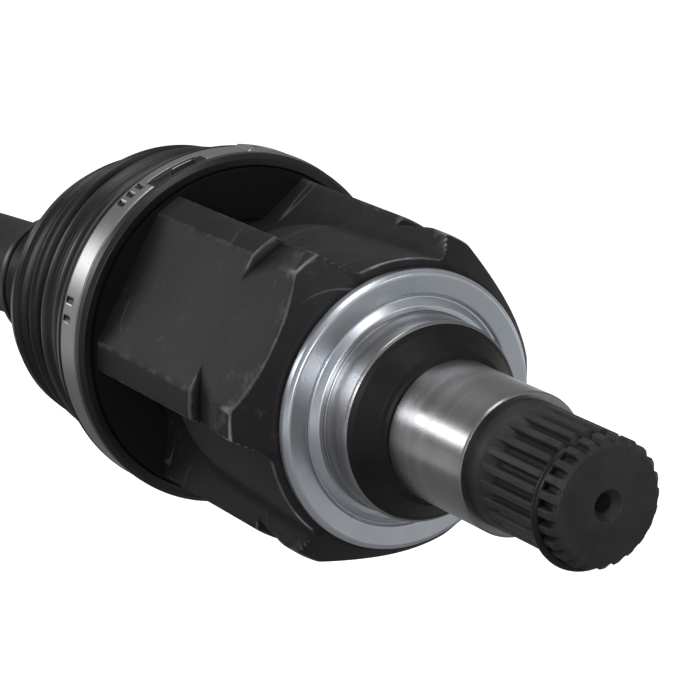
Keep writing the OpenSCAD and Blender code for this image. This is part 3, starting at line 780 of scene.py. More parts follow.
HOUSING_PAINT = ForgedPaint("housing_paint", (0.0125, 0.0112, 0.0125), 0.5, 0.035)
BELL_PAINT = ForgedPaint("bell_paint", (0.0125, 0.0112, 0.0125), 0.5, 0.04, grain=600.0)
BAR_PAINT = ForgedPaint("bar_paint", (0.02, 0.018, 0.02), 0.5, 0.03, wear=0.35)
JOURNAL_STEEL = GroundSteel("journal_steel", (0.31, 0.3, 0.305), 0.2, 0.004)
SHOULDER_COAT = Phosphate("shoulder_coat", (0.009, 0.0088, 0.0093), 0.36, 0.008)
SPLINE_COAT = Phosphate("spline_coat", (0.026, 0.0245, 0.026), 0.42, 0.012)
CLIP_WIRE = Phosphate("clip_wire", (0.012, 0.012, 0.013), 0.3, 0.006)
SHIELD_ZINC = ZincPlate("shield_zinc", (0.55, 0.6, 0.66), 0.22, 0.01)
THREAD_ZINC = ZincPlate("thread_zinc", (0.4, 0.42, 0.44), 0.3, 0.008)
BOOT_RUBBER = MouldedRubber("boot_rubber", (0.0024, 0.0022, 0.0025), 0.28, 0.02)
BAND_STEEL = BrushedStrip("band_steel", (0.3, 0.3, 0.305), 0.34, 0.004)
COATED_BAND = BrushedStrip("coated_band", (0.022, 0.021, 0.022), 0.42, 0.004)
GREASED_STEEL = BearingSteel("greased_steel", (0.5, 0.5, 0.51), 0.18, 0.006)
INSERT_PLASTIC = MouldedPlastic("insert_plastic", (0.0025, 0.0024, 0.0026), 0.6, 0.02)


# ---------------------------------------------------------------- sub-assemblies


class SubAssembly:
    """A part of the shaft that builds its own pieces."""

    title = "part"

    def build(self) -> list[Piece]:
        """Makes, dresses and mounts the pieces."""
        raise NotImplementedError

    def mount(
        self, piece: Piece, finish: Finish, body: str | None, node: str, slot: str, axis: Axis = Axis.STUB
    ) -> Piece:
        """Dresses a piece and lets it ride on a body in place of a solid.

        Args:
            piece: Object that was made.
            finish: Finish that it gets.
            body: Body that it rides on, or None for a piece that bends between two.
            node: Solid that it stands for.
            slot: Name of a finish slot; not used.
            axis: Which axis the marks of its finish run round.

        Returns:
            The piece.
        """
        finish.dress(piece, axis=axis, soft=body is None)
        if body:
            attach(piece, body)
        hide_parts(node)
        return piece


@dataclass
class TulipHousing(SubAssembly):
    """Forged housing with three lobes, hollows between them, notched corners and roller tracks."""

    title = "tripod housing"
    mouth: float = -118.0
    face: float = -42.6
    back: float = -41.2
    radius: float = 36.4
    chamfer_from: float = -50.0
    face_r: float = 30.2
    lobe_flat: float = 33.0
    first_lobe: float = math.radians(30)
    hollow_floor: float = 23.5
    hollow_r: float = 10.0
    hollow_open: float = math.radians(52)
    notch_wall: float = -66.2
    notch_len: float = 10.5
    notch_depth: float = 2.0
    pitch: float = 19.5
    track_r: float = 16.65
    track_reach: float = 28.6
    track_end: float = -57.0
    land_r: float = 20.2
    mouth_land_r: float = 23.8
    valley_soft: float = 2.6
    crest_soft: float = 0.4
    rim_soft: float = 0.22
    notch_soft: float = 0.3
    lip_from_r: float = 34.6
    ring_from_r: float = 35.6
    pale_band_from_r: float = 32.4
    sides: int = 384

    def from_lobe(self) -> Array:
        """Angle from the middle of the nearest lobe, from -60 to 60 degrees."""
        third = 2 * math.pi / 3
        return (around(self.sides) - self.first_lobe + third / 2) % third - third / 2

    def lobes(self) -> Array:
        """Reach of the section at each angle.

        The flat of a lobe is its distance over the cosine of the angle. A hollow is the near
        side of a circle, and outside its tangent point the wall that opens out from it.

        Returns:
            The reach, in one row.
        """
        off = np.abs(self.from_lobe())
        psi = math.pi / 3 - off
        mid, r = self.hollow_floor + self.hollow_r, self.hollow_r
        slant, level = math.sin(self.hollow_open), math.cos(self.hollow_open)
        touch = (mid - r * slant, r * level)
        disc = mid * np.cos(psi) - np.sqrt(np.maximum(r**2 - (mid * np.sin(psi)) ** 2, 0))
        wall = (slant * touch[0] - level * touch[1]) / np.sin(np.maximum(self.hollow_open - psi, 0.05))
        hollow = np.where(psi < math.atan2(touch[1], touch[0]), disc, wall)
        return np.minimum(self.lobe_flat / np.cos(off), hollow)

    def core(self, x: Array) -> Array:
        """Radius that fills the hollows toward the front, averaged over a few millimetres."""
        at = [-118, -109, -106.5, -96.2, -94.2, -89.7, -85.2, -78.2, -66.2, -54.2, -41.2]
        r = [25.6, 25.6, 22.5, 22.5, 24.5, 27.5, 29.1, 29.7, 30.3, 30.8, 31.2]
        reach = np.linspace(-2.4, 2.4, 13)
        weight = hump(reach, 0, 1.3)
        return (np.interp(x + reach, at, r) * weight).sum(1, keepdims=True) / weight.sum()

    def envelope(self) -> tuple[Array, Array]:
        """Stations and radii of the turned outside, from the mouth over the front chamfer to the back.

        The chamfer is a cone through the cylinder's end and the rim of the face.
        """
        wall, edge, face = self.notch_wall, self.chamfer_from, self.face
        x = stations(
            self.mouth + np.array([0, 0.3, 0.8, 1.4]), (-116, -108.5, 8), (-107.5, wall - 0.8, 62),
            wall + np.array([-0.45, -0.2, -0.06, 0.06, 0.2, 0.5]), (wall + 1.0, edge - 1.0, 30),
            edge + np.linspace(-0.75, 0.75, 9), (edge + 1.1, face - 0.5, 18), face + np.array([-0.3, -0.14, -0.04]),
        )
        rim = self.radius - 1.2 * (1 - ease((x - self.mouth) / 1.4))
        cone = self.face_r + (face - x) * (self.radius - self.face_r) / (face - edge)
        rim, _ = soft_min(rim, cone, self.rim_soft)
        rim[-3:] -= np.array([[0.02], [0.1], [0.28]])
        face_r = stations((self.face_r - 0.6, 23.4, 8))
        step = np.array([[face, 22.9], [face + 0.2, 22.7], [self.back, 22.65], [self.back, 22.3]])
        return np.vstack([x, np.full((8, 1), face), step[:, :1]]), np.vstack([rim, face_r, step[:, 1:]])

    def outside(self) -> Rows:
        """Outer surface: the lobes or the core, whichever is larger, inside the turned outside.

        The notches are a cone inside the corners: their floor rises by the notch depth over
        the notch length from a square wall, and they are marked hollow, for painted shade. The flats
        are paler in patches in a broad band behind the chamfer, which fades with the distance
        from it along the axis.

        Returns:
            Stations, radii and edge marks.
        """
        x, env = self.envelope()
        body, valley = soft_max(self.lobes(), self.core(x), self.valley_soft)
        whole, crest = soft_min(body, env, self.crest_soft)
        floor = self.radius - self.notch_depth * (1 - (x - self.notch_wall) / self.notch_len)
        floor = np.where((x > self.notch_wall) & (x < self.notch_wall + self.notch_len), floor, BEYOND)
        radius, _ = soft_min(whole, floor, self.notch_soft)
        cut = ease((whole - radius) / 1.5)
        lip = hump(x, self.notch_wall - 0.3, 0.4) * ease((radius - self.lip_from_r) / 0.8)
        ring = hump(x, self.chamfer_from, 0.45) * ease((radius - self.ring_from_r) / 0.5)
        # A broad band on the flats behind the chamfer, which the paint shows paler in patches.
        slope = (self.radius - self.face_r) / (self.face - self.chamfer_from)
        behind = self.face - (body - self.face_r) / slope - x
        pale_band = 0.34 * hump(behind, 0, 5.5) * ease(behind / 0.6 + 0.5) * (body > self.pale_band_from_r) * (x < self.face)
        crease = crest * (env > 29.9) * (0.35 + 0.65 * ease((x + 56) / 6))
        # Valleys and notch floors get a negative mark, which the paint shows as painted shade.
        edge = np.maximum.reduce([crease, lip, ring, pale_band]) * (1 - cut) - 0.5 * valley - 0.95 * cut
        return x, radius, edge

    def inside(self) -> Rows:
        """Inner surface: three roller tracks, each clipped by its outer wall, and the land between.

        A track's reach is pitch times cos a, plus the root of its radius squared less pitch
        squared times sin a squared.

        Returns:
            Stations from the floor out to the mouth, radii and edge marks.
        """
        x = stations([self.track_end, -60.0, -90.0, -104.0, -111.0, -117.2, self.mouth])
        off = self.from_lobe()
        under = self.track_r**2 - (self.pitch * np.sin(off)) ** 2
        reach = self.pitch * np.cos(off) + np.sqrt(np.maximum(under, 0))
        track = np.where(under > 0, np.minimum(reach, self.track_reach / np.cos(off)), 0.0)
        land = np.interp(-x, [57, 104, 118], [self.land_r, self.land_r, self.mouth_land_r])
        return x, np.maximum(track, land), 0 * x

    def build(self) -> list[Piece]:
        """Joins the inside to the outside at the mouth and paints it."""
        piece = skin("tulip_housing", STUB_LINE, stack(self.sides, self.inside(), self.outside()))
        return [self.mount(piece, HOUSING_PAINT, "inner_housing", "inner_housing", "housing_paint")]


@dataclass
class StubJournals(SubAssembly):
    """Ground seal journal, coned shoulder and ground bearing journal of the stub."""

    title = "stub journals"
    seal_r: float = 21.0
    seat_r: float = 21.25
    journal_r: float = 14.7
    sides: int = 224

    def build(self) -> list[Piece]:
        """Turns the journals and the darker shoulder between them as separate pieces."""
        seal = [
            (-41.4, 0), (-41.4, self.seat_r), (-38.5, self.seat_r), (-38.3, self.seal_r),
            (-31.5, self.seal_r), (-31.1, 20.55), (-31.1, 0),
        ]
        cone = [
            (-31.3, 0), (-31.3, 20.75), (-30.3, 19.5), (-28.2, 17.55), (-26.6, 16.1), (-26.2, 15.0),
            (-25.7, 14.4), (-25.0, 14.4), (-25.0, 0),
        ]
        bearing = [
            (-25.1, 0), (-25.1, 14.42), (-24.8, self.journal_r), (-0.35, self.journal_r), (0, 14.4), (0, 0),
        ]
        made = []
        for name, corners, rounding, finish in (
            ("seal_journal_face", seal, [0, 0.2, 0.1, 0.1, 0.3, 0.1, 0], JOURNAL_STEEL),
            ("coned_shoulder", cone, [0, 0.2, 0.7, 3.0, 0.5, 0.3, 0.2, 0.1, 0], SHOULDER_COAT),
            ("bearing_journal_face", bearing, [0, 0.1, 0.15, 0.25, 0.1, 0], JOURNAL_STEEL),
        ):
            piece = turned(name, STUB_LINE, eased_outline(corners, rounding), self.sides)
            made.append(self.mount(piece, finish, "inner_housing", "inner_housing", "housing_paint"))
        return made


@dataclass
class StubSplines(SubAssembly):
    """Tapered collar and splined end, with run outs, clip groove, chamfer and centre drilling."""

    title = "stub splines"
    teeth: int = 24
    crest: float = 13.0
    root: float = 11.7
    end: float = 27.5
    chamfer: float = 1.5
    groove_at: float = 21.9
    groove_half: float = 1.08
    groove_r: float = 10.66
    ramp_from: float = 3.2
    ramp_len: float = 6.0
    sides: int = 576

    def build(self) -> list[Piece]:
        """Works out the toothed surface.

        Between the teeth the floor falls from the collar to the root along an eased ramp. The
        turned line of collar, crests, groove and chamfer then cuts the teeth.

        Returns:
            The one piece.
        """
        g, h, e, crest = self.groove_at, self.groove_half, self.end, self.crest
        x = stations(
            [-0.2, 0.0, 0.25, 0.7], (1.1, 12.0, 40), (12.7, g - h - 0.5, 9),
            g - h + np.array([-0.25, -0.1, 0.0, 0.02, 0.15]), [g - 0.4, g, g + 0.4],
            g + h + np.array([-0.15, -0.02, 0.0, 0.1, 0.25]), [g + h + 0.5, 24.4, e - self.chamfer - 0.4],
            (e - self.chamfer - 0.15, e - 0.12, 12), [e],
        )
        line = np.interp(x, [-0.2, 0, 0.25, 3.4, 4.6, e - self.chamfer, e - 0.1, e],
                         [14.3, 14.5, 14.55, 13.35, crest, crest, crest - 1.4, crest - 1.75])
        groove = np.where(np.abs(x - g) < h - 0.005, self.groove_r, BEYOND)
        run_out = crest + 0.1 - (crest + 0.1 - self.root) * ease((x - self.ramp_from) / self.ramp_len)
        turn = around(self.sides)
        tooth = self.root + (crest + 0.02 - self.root) * tooth_share(turn, self.teeth, 0.17, 0.37)
        toothed, valley = soft_max(tooth + 0 * x, run_out, 0.12)
        radius, crease = soft_min(toothed, line, 0.16)
        radius = np.minimum(radius, groove)
        # Valleys and the floors between the teeth get a negative mark, for painted shade.
        edge = 0.12 * tooth_share(turn, self.teeth, 0.1, 0.3) * ease((x - 5.0) / 3.0) + 0.3 * crease - 0.2 * valley
        edge = edge - 0.75 * ease((crest - 0.7 - radius) / 0.5) * (x < e - self.chamfer)
        rows = stack(self.sides, (x, radius, edge), drilled_end(e, 11.2))
        piece = skin("stub_spline_teeth", STUB_LINE, rows)
        return [self.mount(piece, SPLINE_COAT, "inner_housing", "inner_housing", "housing_paint")]


@dataclass
class DustShield(SubAssembly):
    """Pressed shield: a turned back rim, a flat ring, a thin groove and a collar round its seat."""

    title = "dust shield"
    bore: float = 21.27
    rim: float = 29.5
    back: float = -41.15
    sheet: float = 1.2
    sides: int = 256

    def build(self) -> list[Piece]:
        """Turns the sheet's section, outside then inside."""
        b, r, k, lip = self.bore, self.rim, self.back, self.back + self.sheet
        section = eased_outline([
            (lip - 2.4, r), (lip - 0.35, r), (lip + 0.34, r - 0.6), (lip + 0.42, r - 1.1), (lip + 0.2, b + 3.3),
            (lip - 0.2, b + 2.8), (lip - 0.15, b + 2.4), (lip + 0.45, b + 1.9), (lip + 1.35, b + 1.1),
            (lip + 1.35, b), (k, b), (k, b + 3.6), (k + 0.1, b + 4.4), (lip - 0.9, r - self.sheet),
            (lip - 2.4, r - self.sheet),
        ], [0.3, 0.9, 0.5, 0.4, 0.4, 0.3, 0.3, 0.4, 0.4, 0.1, 0.1, 0.3, 0.3, 0.5, 0.3], closed=True)
        piece = turned("shield_pressing", STUB_LINE, section, self.sides, loop=True)
        return [self.mount(piece, SHIELD_ZINC, "inner_housing", "dust_shield", "zinc_plate")]


@dataclass
class StubCirclip(SubAssembly):
    """Open ring of round wire that hangs a little low in its groove."""

    title = "stub circlip"
    at: float = 21.9
    wire_r: float = 0.9
    ring_r: float = 12.6
    drop: float = 1.0
    sweep: float = math.radians(312)
    rings: int = 121
    sides: int = 16

    def build(self) -> list[Piece]:
        """Carries a circle round an arc that is centred on its lowest point.

        At arc angle t the wire's middle is (cos t, sin t) times the ring radius. A point of
        the wire at angle s lies wire radius times cos s further out and sin s along. The wire
        narrows to its ends over a quarter circle, and each end closes on a pole.

        Returns:
            The one piece.
        """
        t = np.linspace(0, 1, self.rings)[:, None]
        arc = 1.5 * math.pi + self.sweep * (t - 0.5)
        near_end = np.minimum(t, 1 - t) * self.sweep * self.ring_r / self.wire_r
        fat = self.wire_r * np.sqrt(np.clip(1 - (1 - np.minimum(near_end, 1)) ** 2, 0.02, 1))
        s = around(self.sides)
        out = self.ring_r + fat * np.cos(s)
        points = np.stack(np.broadcast_arrays(
            self.at - fat * np.sin(s), out * np.cos(arc), out * np.sin(arc) - self.drop), -1)
        end = arc[[0, -1], 0]
        ends = np.stack([np.full(2, self.at), self.ring_r * np.cos(end), self.ring_r * np.sin(end) - self.drop], -1)
        faces = ring_faces(self.rings, self.sides, False)
        piece = add_mesh("circlip_wire", np.vstack([points.reshape(-1, 3), ends]), faces)
        return [self.mount(piece, CLIP_WIRE, "inner_housing", "stub_circlip", "spring_wire")]


@dataclass
class InnerBoot(SubAssembly):
    """Bellows over the tripod joint, in two pieces, so that it can plunge and swing."""

    title = "inner boot"
    front: float = 20.3
    seat_from: float = 23.7
    seat_to: float = 30.2
    seat_r: float = 38.91
    lip_r: float = 39.81
    bore_r: float = 37.08
    reach: float = 76.0
    tail_r: float = 14.05
    tail_bore: float = 11.32
    wall: float = 1.8
    split: float = 43.4
    sides: int = 168
    folds: tuple[Corner, ...] = (
        (34.2, 38.6), (35.6, 35.6), (37.6, 35.0), (39.2, 36.0), (40.4, 36.3), (41.8, 35.9), (42.8, 35.5),
        (44.0, 36.3), (45.6, 36.7), (47.2, 35.8), (49.0, 29.8), (50.2, 29.0), (51.2, 31.6), (52.4, 35.0),
        (53.6, 35.6), (55.2, 34.4), (56.8, 31.6), (57.8, 31.3), (59.0, 32.4), (60.6, 32.2), (63.0, 30.6),
        (66.0, 27.4), (69.6, 22.0), (72.8, 17.4), (74.8, 15.3),
    )

    def outline(self) -> Outline:
        """Loop of the boot's section, outside toward the bar and inside back."""
        c, b, tail, lip, bore = self.seat_to, self.reach, self.tail_r, self.lip_r, self.tail_bore
        outer = list(self.folds)
        inner = [(s, r - self.wall) for s, r in outer[:-4]] + [(s - 1.6, r - 0.7) for s, r in outer[-4:]]
        tip = [
            (b - 0.8, tail + 0.9), (b, tail + 0.9), (b + 0.4, tail), (b + 6.3, tail), (b + 6.7, tail + 0.9),
            (b + 8.3, tail + 0.7), (b + 8.7, tail), (b + 8.7, bore), (b - 2, bore),
        ]
        cuff = [(self.front, lip - 0.9), (self.front + 0.9, lip), (self.seat_from - 0.8, lip),
                (self.seat_from - 0.2, self.seat_r), (c + 0.2, self.seat_r), (c + 0.8, lip - 0.1)]
        corners = [(self.front, self.bore_r), *cuff, *outer, *tip, *inner[::-1], (c + 1.2, self.bore_r)]
        rounding = [0.3] * len(cuff) + [0.4] + [2.2] * len(outer) + [0.3] * len(tip) + [2.0] * len(inner) + [1.0]
        return eased_outline(corners, rounding, closed=True)

    def half(self, name: str, wide: bool) -> Piece:
        """One side of the split, as a closed loop of the section on that side.

        Args:
            name: Name of the piece.
            wide: True for the side with the large end.

        Returns:
            The piece.
        """
        whole = self.outline()
        s, r = whole.station, whole.radius
        side = s < self.split if wide else s >= self.split
        start = int(np.argmax(~side & np.roll(side, -1))) + 1
        order = (np.arange(len(s)) + start) % len(s)
        kept = order[side[order]]
        ends = [self.cut(s, r, kept[0] - 1), self.cut(s, r, kept[-1])]
        station = np.concatenate([[self.split], s[kept], [self.split]])
        radius = np.concatenate([[ends[0]], r[kept], [ends[1]]])
        edge = np.concatenate([[0.0], whole.edge[kept], [0.0]])
        return turned(name, BOOT_LINE, Outline(station, radius, edge), self.sides, loop=True)

    def cut(self, s: Array, r: Array, index: int) -> float:
        """Radius where the section passes the split between a point and the next one."""
        n = (index + 1) % len(s)
        share = (self.split - s[index]) / (s[n] - s[index])
        return float(r[index] + share * (r[n] - r[index]))

    def build(self) -> list[Piece]:
        """Makes both pieces. The first stretches with the plunge and the second bends with the swing."""
        wide, narrow = self.half("boot_wide_bellows", True), self.half("boot_narrow_bellows", False)
        for piece in (wide, narrow):
            self.mount(piece, BOOT_RUBBER, None, "inner_boot", "boot_rubber")
        at = [BOOT_LINE.metres(s) for s in (29.5, self.split, 75.0)]
        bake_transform(wide, "inner_housing", "lower_roller", start=at[0], end=at[1])
        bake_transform(narrow, "lower_roller", "shaft", start=at[1], end=at[2])
        return [wide, narrow]


@dataclass
class BandClamp(SubAssembly):
    """Band with a lapped end, hooks in their slots and a punched window.

    The lap's two ends are angles in degrees, and the rise and the sinks are in sheets. A large
    band also has a hook in a cut-away before its lap, and punched marks before that.
    """

    title = "band clamp"
    name: str
    node: str
    body: str
    line: Line
    at: float
    width: float
    inner: float
    lap_from: float
    lap_to: float
    axis: Axis
    finish: Finish = BAND_STEEL
    sheet: float = 0.7
    large_from: float = 30.0
    lap_rise: float = 0.85
    slot_sink: float = 0.8
    hole_sink: float = 0.55
    sides: int = 720

    def build(self) -> list[Piece]:
        """Works out the band's outside over the angle and the width.

        The lap rises between its two angles, narrowed toward its tongue. Slots and the
        cut-away sink, except where a hook fills them, and so do punched holes. The large
        hook also rises over the band.

        Returns:
            The one piece.
        """
        mid, half, sheet, first = self.at + self.width / 2, self.width / 2, self.sheet, self.lap_from
        across = stations([-1, -0.985, -0.94], (-0.88, 0.88, 31), [0.94, 0.985, 1]) * half
        round_off = 0.35 * sheet * (np.abs(across) / half) ** 24
        arc = np.degrees(around(self.sides))
        degree = np.radians(1) * self.inner

        def arcs(starts: Sequence[float], length: float, soft: float) -> Array:
            """1 in arcs from these angles over this length in degrees, with flanks soft wide in millimetres."""
            return sum(window(arc, a, a + length, soft / degree) for a in starts)

        def within(reach: float | Array, soft: float) -> Array:
            """1 up to this distance from the band's middle line, with an eased flank."""
            return ease((reach - np.abs(across)) / soft + 0.5)

        tongue = half * (0.94 - 0.42 * ease((arc - self.lap_to + 5) / 5))
        lap = arcs([first], self.lap_to - first, 0.5) * within(tongue, 0.25)
        slots = arcs([first + 4.0, first + 11.0], 2.6, 0.35) * within(half * 0.42, 0.3)
        hooks = arcs([first + 4.9, first + 11.9], 1.5, 0.6) * within(half * 0.34, 0.4)
        holes = arcs([self.lap_to + 33], 2.4, 0.35) * within(half * 0.4, 0.3)
        if self.inner > self.large_from:
            marks = arcs([first - a for a in (88, 82, 47, 43, 39)], 1.7, 0.4)
            holes = np.maximum(holes, marks * window(across, -0.12 * half, 0.72 * half, 0.5))
            hook = arcs([first - 28.5], 9.0, 1.2) * hump(across, -0.68 * half, 0.6)
            away = arcs([first - 35], 18.0, 2.5) * ease((0.1 * half - across) / 0.5)
            slots, hooks = np.maximum(slots, away), np.maximum(hooks, hook)
            lap = np.maximum(lap, 1.05 * hook)
        open_slots = slots * (1 - hooks)
        rise = self.lap_rise * sheet * lap - self.slot_sink * sheet * open_slots - self.hole_sink * sheet * holes
        outer = self.inner + sheet - round_off + rise
        slope = np.hypot(*np.gradient(rise))
        # Open slots, holes and the foot of each step get a negative mark, for painted shade.
        edge = -np.clip(6 * (open_slots + holes), 0, 1) * 0.9 - np.clip(slope * 1.5, 0, 0.5) * (rise < 0.3 * sheet)
        bore = stations([mid + half - 0.1, mid - half + 0.1])
        rows = stack(self.sides, (mid + across, outer, edge), (bore, np.full((2, 1), self.inner), 0 * bore))
        piece = skin(self.name, self.line, rows, loop=True)
        return [self.mount(piece, self.finish, self.body, self.node, "stainless", self.axis)]


@dataclass
class DriveBar(SubAssembly):
    """Solid bar with a splined end in each joint."""

    title = "bar"
    radius: float = 11.25
    crest: float = 11.5
    root: float = 10.7
    teeth: int = 26
    start: float = -14.5
    end: float = 443.4
    grooves: tuple[float, ...] = (-11.32, 11.32, 441.82)
    groove_half: float = 0.82
    groove_r: float = 10.42
    first_teeth_to: float = 16.5
    last_teeth_from: float = 412.5
    sides: int = 416

    def build(self) -> list[Piece]:
        """Works out the surface: toothed ends with chamfers, snap ring grooves, and the round bar."""
        x = stations(
            [self.start, self.start + 0.3, self.start + 1.3], (-12.6, -10, 14), (-9, 9.6, 5), (10.2, 12.5, 12),
            (13.5, 24.5, 12), (40, 400, 10), (407, 416, 10), [425, 437, 439.9], (440.4, 442.1, 9),
            [442.3, 443.1, self.end],
        )
        toothed = self.root + (self.crest - self.root) * tooth_share(around(self.sides), self.teeth)
        share = ease((x - self.first_teeth_to) / 4) * ease((self.last_teeth_from - x) / 4)
        smooth = self.root - 0.3 + (self.radius - self.root + 0.3) * ease((x - 12.5) / 5) * ease((416 - x) / 5)
        run_out = np.maximum(smooth, toothed * (share < 0.5) * (1 - 0.1 * share))
        radius = np.where(share > 0, run_out, toothed)
        tip = np.minimum(x - self.start, self.end - x)
        radius = np.minimum(radius, self.crest - 1.3 + np.clip(tip, 0, 1.4))
        cut = np.any(np.abs(x - np.array(self.grooves)) < self.groove_half, axis=1, keepdims=True)
        radius = np.where(cut, np.minimum(radius, self.groove_r), radius)
        piece = skin("drive_bar", BAR_LINE, (x, radius, 0 * x))
        return [self.mount(piece, BAR_PAINT, "shaft", "shaft_bar", "bar_paint", Axis.BAR)]


@dataclass
class OuterBoot(SubAssembly):
    """Bellows over the ball joint."""

    title = "outer boot"
    start: float = 5.4
    lip: float = 41.5
    seat_r: float = 38.95
    fold_from: float = 19.5
    fold_to: float = 78.0
    length: float = 92.0
    tail: float = 13.85
    tail_bore: float = 11.31
    wall: float = 1.7
    count: int = 5
    crest_drop: float = 4.5
    root_drop: float = 11.0
    sides: int = 168

    def build(self) -> list[Piece]:
        """Builds the section from evenly spaced folds that narrow toward the bar.

        The first crest is one drop inside the lip, and the last is 5.95 over the tail. The
        valleys start further inside the lip and end just inside the tail.

        Returns:
            The one piece, which bends with the joint.
        """
        pitch = (self.fold_to - self.fold_from) / self.count
        i = np.arange(self.count + 1)
        crest = self.lip - self.crest_drop + i / (self.count - 1) * (self.tail + 10.45 - self.lip)
        root = self.lip - self.root_drop + i / self.count * (self.tail + 10.7 - self.lip)
        shape = [(0.1, 1.4), (0.3, -3.0), (0.42, -0.4), (0.5, 0.0), (0.58, -0.4), (0.74, -2.6), (0.92, 0.7), (1.0, 0.0)]
        outer = [(self.fold_from + (k + u) * pitch,
                  (root[k] if u < 0.2 else root[k + 1] if u > 0.9 else crest[k]) + d)
                 for k in range(self.count) for u, d in shape]
        inner = [(s, r - self.wall) for s, r in outer][::-1]
        s0, lip, tail, e, first, last = self.start, self.lip, self.tail, self.length, self.fold_from, self.fold_to
        corners = [
            (s0, self.seat_r), (s0, lip - 0.6), (s0 + 0.6, lip), (s0 + 1.4, lip), (s0 + 1.8, lip - 0.9),
            (s0 + 9.2, lip - 0.9), (s0 + 9.6, lip), (first - 2, lip), (first - 0.6, lip - 2), *outer,
            (last + 3, tail), (last + 4, tail + 0.9), (last + 5, tail + 0.9), (last + 5.4, tail), (e - 1.6, tail),
            (e - 1.2, tail + 0.9), (e, tail + 0.8), (e, self.tail_bore), (last + 2, self.tail_bore), *inner,
            (first - 1, self.seat_r - 2.9), (17.3, self.seat_r),
        ]
        rounding = [0.3] * 9 + [1.9] * len(outer) + [0.3] * 9 + [1.6] * len(inner) + [0.8, 0.3]
        section = eased_outline(corners, rounding, closed=True, steps=4)
        piece = turned("outer_boot_bellows", OUTER_BOOT_LINE, section, self.sides, loop=True)
        self.mount(piece, BOOT_RUBBER, None, "outer_boot", "boot_rubber", Axis.BAR)
        at = [OUTER_BOOT_LINE.metres(s) for s in (12.0, 50.0)]
        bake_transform(piece, "outer_housing", "shaft", start=at[0], end=at[1])
        return [piece]


